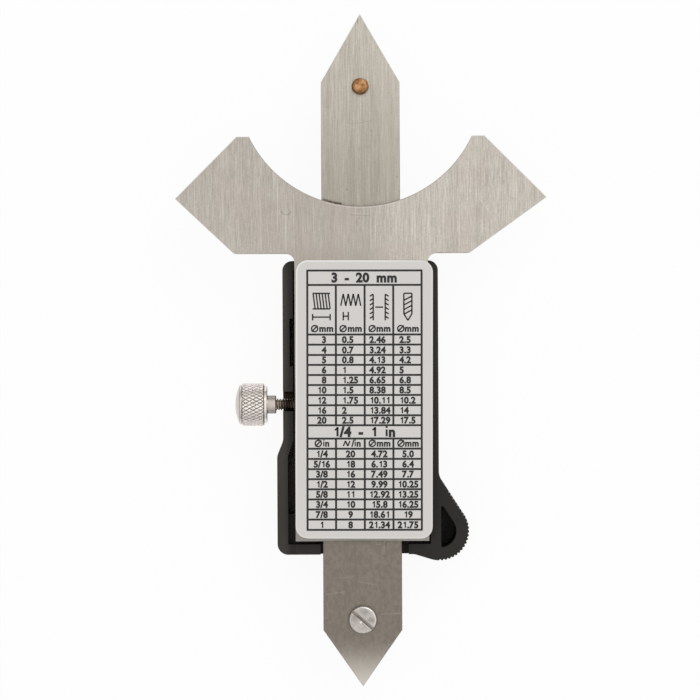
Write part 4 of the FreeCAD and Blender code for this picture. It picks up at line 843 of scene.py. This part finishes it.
columns = [307.2, 335.7, 364.4, 393.0, 421.3]
rows = [270.7, 285.1, 334.6, 344.7, 355.0, 364.9, 375.0, 385.0, 395.0, 405.2, 415.3, 425.2,
        438.5, 448.6, 458.8, 469.0, 479.0, 489.1, 499.2, 509.2, 519.3, 529.6]
ink_lines = []
for row in rows:
    ends = (sheet_x(columns[0]) - 0.17, sheet_x(columns[-1]) + 0.17)
    ink_lines.append(stroke((ends[0], sheet_y(row)), (ends[1], sheet_y(row)), table_line, print_rise))
whole, halves = [(rows[0], rows[-1])], [(rows[1], rows[11]), (rows[12], rows[-1])]
for column in columns:
    for top, bottom in whole if column in (columns[0], columns[-1]) else halves:
        ink_lines.append(table_stroke((column, top), (column, bottom), table_line + 0.01, print_rise * 0.9))
table_lines = joined(ink_lines, "label_table_lines")

metric = (("3", "0.5", "2.46", "2.5"), ("4", "0.7", "3.24", "3.3"), ("5", "0.8", "4.13", "4.2"),
          ("6", "1", "4.92", "5"), ("8", "1.25", "6.65", "6.8"), ("10", "1.5", "8.38", "8.5"),
          ("12", "1.75", "10.11", "10.2"), ("16", "2", "13.84", "14"), ("20", "2.5", "17.29", "17.5"))
inch = (("1/4", "20", "4.72", "5.0"), ("5/16", "18", "6.13", "6.4"), ("3/8", "16", "7.49", "7.7"),
        ("1/2", "12", "9.99", "10.25"), ("5/8", "11", "12.92", "13.25"), ("3/4", "10", "15.8", "16.25"),
        ("7/8", "9", "18.61", "19"), ("1", "8", "21.34", "21.75"))
letters = []
sign_widths = {".": 0.37, "/": 0.42, "-": 0.47, " ": 0.38, "m": 1.16, "i": 0.33, "n": 0.78}
drawn_signs = {}


def drawn_sign(sign, extra):
    """One printed sign with digits 1 mm high. The built-in one is a bare stroke, so it gets its flag."""
    if (sign, extra) not in drawn_signs:
        if sign == "1":
            flag = stroke((0.43, 0.92), (0.10, 0.68), 0.17 + extra, print_rise)
            piece = joined([stroke((0.38, 0), (0.38, 1.0), 0.21 + extra, print_rise), flag], "sign_1")
        elif sign == "i":
            dot = stroke((0.16, 0.90), (0.16, 1.08), 0.20 + extra, print_rise)
            piece = joined([stroke((0.16, 0), (0.16, 0.74), 0.20 + extra, print_rise), dot], "sign_i")
        else:
            piece = text_piece(sign, 1.0, "LEFT", print_rise, 0.07 + extra / 2)
            piece.data.transform(Matrix.Diagonal((0.99, 1, 1, 1)))
        drawn_signs[(sign, extra)] = piece
    return drawn_signs[(sign, extra)]


def lettered(words, height, x, base, align, extra=0.0):
    """Sets a word of the table, sign by sign; extra thickens its strokes."""
    widths = [(sign_widths.get(sign, 0.735) + extra) * height for sign in words]
    start = {"LEFT": 0.0, "CENTER": -sum(widths) / 2, "RIGHT": -sum(widths)}[align]
    for sign, width in zip(words, widths):
        if sign != " ":
            shape = drawn_sign(sign, extra)
            low = min(corner.co.x for corner in shape.data.vertices)
            high = max(corner.co.x for corner in shape.data.vertices)
            left = (sheet_x(x) + start + width / 2) * MM - (low + high) / 2 * height
            place = Matrix.Translation((left, sheet_y(base) * MM, 0))
            letters.append(copied(shape, place @ Matrix.Diagonal((height, height, 1, 1))))
        start += width


for count, cells in enumerate(metric):
    base = rows[3 + count] - 1.9 + (rows[3 + count] - rows[2 + count] - 10) * 0.1
    for cell, x, align in zip(cells, (326.2, 341.8, 369.1, 399.0), ("RIGHT", "LEFT", "LEFT", "LEFT")):
        lettered(cell, 1.28, x, base, align)
for count, cells in enumerate(inch):
    base = rows[14 + count] - 1.9
    for cell, x in zip(cells, (321.5, 350.2, 379.0, 407.6)):
        lettered(cell, 1.28, x, base, "CENTER")
lettered("3  -  20  mm", 1.84, 364.0, 282.2, "CENTER")
lettered("1/4  -  1  in", 1.88, 364.0, 436.3, "CENTER", 0.02)
signs = []


def diameter_sign(x, y, radius, width):
    """The sign for a diameter: a ring with a stroke through it."""
    ring = ring_piece(radius, width, print_rise)
    corner = radius * 0.98
    slash = stroke((-corner, -corner), (corner, corner), width, print_rise)
    place = Matrix.Translation((sheet_x(x) * MM, sheet_y(y) * MM, 0))
    signs.append(place_mesh(joined([ring, slash], "sign"), place))


for x, words in ((314.5, 326.1), (342.9, 354.6), (371.9, 383.2), (400.5, 411.5)):
    diameter_sign(x, 328.7, 0.62, sign_line)
    lettered("mm", 1.28, words, 331.6, "CENTER")
for x, words, unit_words in ((318.0, 325.9, "in"), (371.9, 383.2, "mm"), (400.5, 411.5, "mm")):
    diameter_sign(x, 443.3, 0.62, sign_line)
    lettered(unit_words, 1.25, words, 446.2, "CENTER")
zigzag = [(343.0, 446.0), (345.2, 440.8), (347.4, 446.0), (349.6, 440.8)]
for start, end in zip(zigzag, zigzag[1:]):
    signs.append(table_stroke(start, end, sign_line))
lettered("/in", 1.25, 356.0, 446.2, "CENTER")

# The four signs at the head of the table's columns, printed with it in thin strokes: a thread's diameter,
# its pitch, its core and the drill for it. They stand for the words of the printed sheet.
sign_lines = [((312.5, 309.0), (330.0, 309.0)), ((312.5, 293.5), (330.0, 293.5))]
for k in range(6):
    sign_lines.append(((313.0 + k * 3.0, 293.5), (315.0 + k * 3.0, 309.0)))
sign_lines += [((312.5, 314.0), (312.5, 320.5)), ((330.0, 314.0), (330.0, 320.5)),
               ((312.5, 317.2), (330.0, 317.2))]
for k in range(4):
    left = 340.6 + k * 5.0
    sign_lines += [((left, 306.0), (left + 2.5, 294.0)), ((left + 2.5, 294.0), (left + 5.0, 306.0))]
sign_lines += [((343.1, 312.0), (343.1, 320.5)), ((348.1, 312.0), (348.1, 320.5)),
               ((343.1, 316.3), (348.1, 316.3))]
sign_lines += [((373.0, 294.5), (373.0, 320.5)), ((385.0, 294.5), (385.0, 320.5))]
for k in range(6):
    sign_lines.append(((369.6, 296.5 + k * 4.4), (373.0, 294.3 + k * 4.4)))
    sign_lines.append(((385.0, 294.3 + k * 4.4), (388.4, 296.5 + k * 4.4)))
sign_lines += [((375.0, 307.3), (383.0, 307.3))]
sign_lines += [((403.6, 293.5), (403.6, 314.0)), ((411.6, 293.5), (411.6, 314.0)),
               ((403.6, 293.5), (411.6, 293.5)), ((403.6, 314.0), (407.6, 320.5)),
               ((411.6, 314.0), (407.6, 320.5))]
for k in range(4):
    sign_lines.append(((403.6, 300.5 + k * 4.6), (411.6, 296.3 + k * 4.6)))
for start, end in sign_lines:
    signs.append(table_stroke(start, end, sign_line))

ink_finish = Finish("black_label_print", roughness=0.45)
rub = ink_finish.cloud((2.5, 2.5, 2.5), 3.0)
ink_finish.set("Base Color", ink_finish.mix(rub.rise(0.35, 0.75), tone(10, 9, 8), tone(20, 18, 16)))
ink_finish.set("Roughness", 0.4 + (rub - 0.5) * 0.3)
table_numbers = joined(letters, "label_numbers")
table_signs = joined(signs, "label_signs")
for shape in drawn_signs.values():
    bpy.data.objects.remove(shape)
for printed in (table_lines, table_numbers, table_signs):
    place_mesh(printed, print_place)
    printed.data.materials.append(ink_finish.material)
    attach(printed, "slider")

# The brass lock pad, and the threaded stud that presses it on the gib strip: steel with a rolled thread, its
# grooves coloured darker than its crests. The thread is painted lighter outside the housing as painted
# light, and darker inside the housing wall as painted shade.
pad_finish = drawn_brass("turned_brass_pad", tone(210, 180, 118), tone(150, 116, 62), (0.4, 6.0, 6.0))
dress("lock_pad", pad_finish)
stud_low, stud_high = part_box("lock_stud")
axis_y = (stud_low.y + stud_high.y) / 2 / MM
axis_z = (stud_low.z + stud_high.z) / 2 / MM
stud_start, stud_end = stud_low.x / MM, stud_high.x / MM
core_radius, crest_radius, pitch = 0.95, 1.24, 0.5
axis = (0, axis_y, axis_z)
core_stations = [(stud_start, core_radius), (stud_end - 0.25, core_radius), (stud_end, 0.75)]
stud_core = turned("stud_core", core_stations, axis, True, 32)
thread_run = stud_end - stud_start - 0.9
alone()
bpy.ops.mesh.primitive_circle_add(vertices=3, radius=1, fill_type="NOTHING")
tooth = settle(bpy.context.active_object, "stud_thread")
tooth_points = ((-0.235, core_radius - 0.05), (0.235, core_radius - 0.05), (0.0, crest_radius))
for corner, (aside, up) in zip(tooth.data.vertices, tooth_points):
    corner.co = Vector((aside, 0, up)) * MM
open_mesh()
bpy.ops.mesh.edge_face_add()
bpy.ops.object.mode_set(mode="OBJECT")
rolled = tooth.modifiers.new("thread", "SCREW")
rolled.axis = "X"
rolled.screw_offset = pitch * MM
rolled.iterations = int(thread_run / pitch)
rolled.steps = rolled.render_steps = 24
bpy.ops.object.modifier_apply(modifier=rolled.name)
open_mesh()
bpy.ops.mesh.remove_doubles(threshold=0.002 * MM)
bpy.ops.mesh.normals_make_consistent(inside=False)
bpy.ops.object.mode_set(mode="OBJECT")
lowest = min(corner.co.x for corner in tooth.data.vertices)
place_mesh(tooth, Matrix.Translation((stud_start * MM + 0.2 * MM - lowest, axis_y * MM, axis_z * MM)))
alone(tooth)
bpy.ops.object.shade_smooth_by_angle(angle=math.radians(50))
stud = joined([stud_core, tooth], "lock_stud_thread")
stud_finish = Finish("oiled_thread_steel", metallic=1.0)
from_axis = off_centre(stud_finish.y - axis_y, stud_finish.z - axis_z)
out = from_axis.rise(core_radius + 0.04, crest_radius - 0.10)
film = stud_finish.cloud((1.8, 1.8, 1.8), 3.0)
# Painted light: the thread is painted lighter where it stands out of the housing.
outside_light = stud_finish.x.rise(-16.0, -17.0)
groove_tone = stud_finish.mix(outside_light, tone(66, 54, 44), tone(132, 120, 108))
crest_tone = stud_finish.mix(outside_light, tone(206, 196, 182), tone(246, 238, 228))
thread_tone = stud_finish.mix(out * (1 - film * 0.1), groove_tone, crest_tone)
# Painted shade: the thread is painted darker where it passes through the housing wall.
wall_x = -14.9
wall_shade = (1 - abs(stud_finish.x - wall_x).rise(0.3, 0.9)) * 0.55
stud_finish.coat(stud_finish.mix(wall_shade, thread_tone, tone(44, 36, 29)),
                 0.42 - out * 0.12 + (film - 0.5) * 0.3, film, 0.004)
stud.data.materials.append(stud_finish.material)
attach(stud, "lock_screw")
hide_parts("lock_stud")

# The knob: turned brass, coarsely diamond knurled and bright nickel plated, with a collar towards the
# housing and a low dome at its end. The stud is pressed into its bore.
knob_low, knob_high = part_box("lock_knob")
face_x, collar_x = knob_low.x / MM, knob_high.x / MM
bore_radius, collar_radius = 1.25, 1.85
lip_x, barrel_x, barrel_end = -19.2, -19.85, -24.2
dome_start, dome_radius = barrel_end - 0.55, 3.96
knob_stations = [(stud_start - 0.02, 0.2), (stud_start - 0.02, bore_radius),
                 (collar_x - 0.12, bore_radius), (collar_x, bore_radius + 0.12),
                 (collar_x, collar_radius - 0.16), (collar_x - 0.16, collar_radius),
                 (lip_x + 0.05, collar_radius), (lip_x, collar_radius + 0.08),
                 (lip_x, 3.62), (lip_x - 0.08, 3.78),
                 (barrel_x + 0.12, 3.80), (barrel_x, 3.72), (barrel_x - 0.02, 3.6), (barrel_end + 0.05, 3.6),
                 (barrel_end, 3.72), (barrel_end - 0.16, 3.74), (barrel_end - 0.18, dome_radius),
                 (barrel_end - 0.26, 4.03), (barrel_end - 0.44, 4.03), (dome_start, dome_radius)]
dome_height = dome_start - face_x
for ring in range(1, 10):
    share = ring / 10
    bulge = dome_height * (1 - (1 - share) ** 2)
    knob_stations.append((dome_start - bulge, dome_radius * (1 - share) ** 0.92))
knob_stations.append((face_x, 0.12))
knob_body = turned("knob_body", knob_stations, axis, True, 72)


def pick_edges(piece, wanted):
    """Selects those edges of an open mesh for which wanted is true."""
    shape = bmesh.from_edit_mesh(piece.data)
    shape.verts.ensure_lookup_table()
    for edge in shape.edges:
        edge.select_set(wanted(edge))
    bmesh.update_edit_mesh(piece.data)


def is_open(edge):
    return len(edge.link_faces) == 1


diamonds_around, diamonds_along = 36, 3
valley_radius, knurl_inset, knurl_rise = 4.17, 0.085, 0.15
alone()
bpy.ops.mesh.primitive_grid_add(x_subdivisions=diamonds_along, y_subdivisions=diamonds_around, size=1)
knurl = settle(bpy.context.active_object, "knob_knurl")
for corner in knurl.data.vertices:
    turn = corner.co.y * 2 * math.pi
    run = barrel_x + (barrel_end - barrel_x) * (corner.co.x + 0.5)
    rim_y, rim_z = valley_radius * math.cos(turn), valley_radius * math.sin(turn)
    corner.co = Vector((run, axis_y + rim_y, axis_z + rim_z)) * MM
open_mesh()
bpy.ops.mesh.remove_doubles(threshold=0.001 * MM)
grid_corners = len(bmesh.from_edit_mesh(knurl.data).verts)
bpy.ops.mesh.select_all(action="SELECT")
bpy.ops.mesh.poke()
bpy.ops.mesh.select_mode(type="EDGE")
bpy.ops.mesh.select_all(action="DESELECT")
pick_edges(knurl, lambda edge: len(edge.link_faces) == 2
           and all(corner.index < grid_corners for corner in edge.verts))
bpy.ops.mesh.dissolve_edges(use_verts=False)
bpy.ops.mesh.select_mode(type="FACE")
bpy.ops.mesh.select_all(action="SELECT")
shape = bmesh.from_edit_mesh(knurl.data)
first = next(iter(shape.faces))
middle = first.calc_center_median() - Vector((first.calc_center_median().x, axis_y * MM, axis_z * MM))
if first.normal.dot(middle) < 0:
    bpy.ops.mesh.flip_normals()
bpy.ops.mesh.inset(thickness=knurl_inset * MM, depth=knurl_rise * MM, use_individual=True)
for limit in (barrel_x, barrel_end):
    bpy.ops.mesh.select_mode(type="EDGE")
    bpy.ops.mesh.select_all(action="DESELECT")
    pick_edges(knurl, lambda edge: is_open(edge)
               and all(abs(corner.co.x - limit * MM) < 0.01 * MM for corner in edge.verts))
    spot = Vector((limit, axis_y, axis_z)) * MM
    bpy.ops.mesh.extrude_region_move(TRANSFORM_OT_translate={"value": (0, 0, 0)})
    bpy.ops.transform.resize(value=(1, 0.86, 0.86), center_override=spot)
bpy.ops.mesh.select_all(action="DESELECT")
pick_edges(knurl, is_open)
bpy.ops.mesh.bridge_edge_loops()
bpy.ops.mesh.select_all(action="SELECT")
bpy.ops.mesh.normals_make_consistent(inside=False)
bpy.ops.mesh.bevel(offset=0.03 * MM, segments=1)
bpy.ops.object.mode_set(mode="OBJECT")
knob = joined([knob_body, knurl], "knurled_knob")
knob_finish = Finish("bright_nickel_knob", metallic=1.0)
from_axis = off_centre(knob_finish.y - axis_y, knob_finish.z - axis_z)
past_barrel = knob_finish.x.rise(barrel_x + 0.02, barrel_x + 0.08)
on_barrel = knob_finish.x.rise(barrel_end - 0.12, barrel_end - 0.06) * (1 - past_barrel)
groove = (1 - from_axis.rise(valley_radius + 0.02, valley_radius + 0.12)) * on_barrel
haze = knob_finish.cloud((0.9, 0.9, 0.9), 3.0)
dirt = knob_finish.cloud((2.6, 2.6, 2.6), 3.0)
nickel = knob_finish.mix(haze.rise(0.4, 0.7) * 0.6, tone(246, 239, 232), tone(222, 212, 202))
nickel = knob_finish.mix(groove * (0.45 + dirt * 0.6), nickel, tone(72, 61, 50))
on_collar = knob_finish.x.rise(lip_x - 0.05, lip_x + 0.1)
# Painted light and shade on the collar: lighter along its middle, darker towards its flanks.
collar_side_shade = abs(knob_finish.y - axis_y).rise(1.0, 1.8)
collar_tone = knob_finish.mix(collar_side_shade, tone(186, 176, 168), tone(118, 112, 106))
nickel = knob_finish.mix(on_collar * (0.7 + collar_side_shade * 0.2), nickel, collar_tone)
on_dome = 1 - knob_finish.x.rise(barrel_end - 0.62, barrel_end - 0.5)
nickel = knob_finish.mix(on_dome * 0.75, nickel, tone(190, 182, 175))
dome_foot = 1 - abs(knob_finish.x - dome_start - 0.03).rise(0.05, 0.17)
nickel = knob_finish.mix(dome_foot * 0.55, nickel, tone(112, 99, 95))
knob_finish.coat(nickel,
                 0.22 + groove * 0.2 + (haze - 0.4) * 0.25, dirt, 0.006)
knob.data.materials.append(knob_finish.material)
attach(knob, "lock_screw")
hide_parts("lock_knob")

# The table under the gauge: a plain pale sheet, larger than any view, so that no horizon shows. It looks
# nearly white and still takes the gauge's soft shadow.
alone()
bpy.ops.mesh.primitive_plane_add(size=4.0, location=(0, 0, -0.02 * MM))
floor = settle(bpy.context.active_object, "floor")
floor_finish = Finish("pale_floor", roughness=0.9)
floor_finish.shader.inputs["Specular IOR Level"].default_value = 0.0
fleck = floor_finish.cloud((0.05, 0.05, 0.05), 2.0)
floor_finish.set("Base Color", floor_finish.mix(fleck, tone(246, 246, 246), tone(250, 250, 250)))
is_camera, is_glossy, is_through = (floor_finish.node("ShaderNodeLightPath", {}, {}, f"Is {ray} Ray")
                                    for ray in ("Camera", "Glossy", "Transmission"))
seen = is_camera.sum("MAXIMUM", is_camera, is_glossy.sum("MAXIMUM", is_glossy, is_through))
glow = floor_finish.node("ShaderNodeEmission", {}, {"Color": (1, 1, 1, 1), "Strength": 1.0})
sheet = Term(floor_finish, floor_finish.shader.outputs[0])
lit = floor_finish.node("ShaderNodeMixShader", {}, {0: seen * 0.93, 1: sheet, 2: glow})
under = floor_finish.node("ShaderNodeNewGeometry", {}, {}, "Backfacing")
clear = floor_finish.node("ShaderNodeBsdfTransparent", {}, {})
surface = floor_finish.node("ShaderNodeMixShader", {}, {0: under, 1: lit, 2: clear})
floor_finish.feed(floor_finish.tree.nodes["Material Output"].inputs["Surface"], surface)
floor.data.materials.append(floor_finish.material)
floor.visible_diffuse = False
floor.visible_shadow = False

# Studio light: an even pale room, brighter overhead, and one soft square lamp from the upper right, which
# gives the gauge its shadow and the steel its sheen.
world = bpy.data.worlds.new("pale_room")
scene.world = world
world.use_nodes = True
sky = Tree(world.node_tree)
background = sky.tree.nodes["Background"]
background.inputs["Color"].default_value = (1, 1, 1, 1)
direction = sky.node("ShaderNodeTexCoord", {}, {}, "Generated")
height = sky.node("ShaderNodeSeparateXYZ", {}, {0: direction}, "Z")
overhead = sky.node("ShaderNodeMapRange", {}, {"Value": height, "From Min": -0.2, "From Max": 1.0,
                                               "To Min": 0.25, "To Max": 1.0})
below = sky.node("ShaderNodeMapRange", {}, {"Value": height, "From Min": -0.2, "From Max": -1.0,
                                            "To Max": 0.55})
is_camera = sky.node("ShaderNodeLightPath", {}, {}, "Is Camera Ray")
strength = sky.node("ShaderNodeMix", {}, {0: is_camera, 2: overhead + below, 3: 1.0})
sky.feed(background.inputs["Strength"], strength)

alone()
bpy.ops.object.light_add(type="AREA", location=(0.5, 0.75, 0.9))
lamp = bpy.context.active_object
lamp.name = "soft_lamp"
lamp.data.shape = "SQUARE"
lamp.data.size = 0.7
lamp.data.energy = 3.2
lamp.rotation_euler = (Vector(lamp.location)).to_track_quat("Z", "Y").to_euler()

# The camera looks straight down on the gauge's back, as from a copy stand: far enough away that the knob
# and the screw heads hardly lean outwards.
view_width, camera_height = 141.55, 650.0
camera_x, camera_y, camera_roll = -2.33, 0.05, math.radians(-0.3)
plate_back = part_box("saddle_frame")[1].z
alone()
bpy.ops.object.camera_add(location=(camera_x * MM, camera_y * MM, plate_back + camera_height * MM),
                          rotation=(0, 0, camera_roll))
camera = bpy.context.active_object
camera.name = "copy_stand_camera"
camera.data.sensor_width = 36
camera.data.lens = camera.data.sensor_width * camera_height / view_width
camera.data.clip_start = 0.01
camera.data.clip_end = 20
scene.camera = camera
alone()
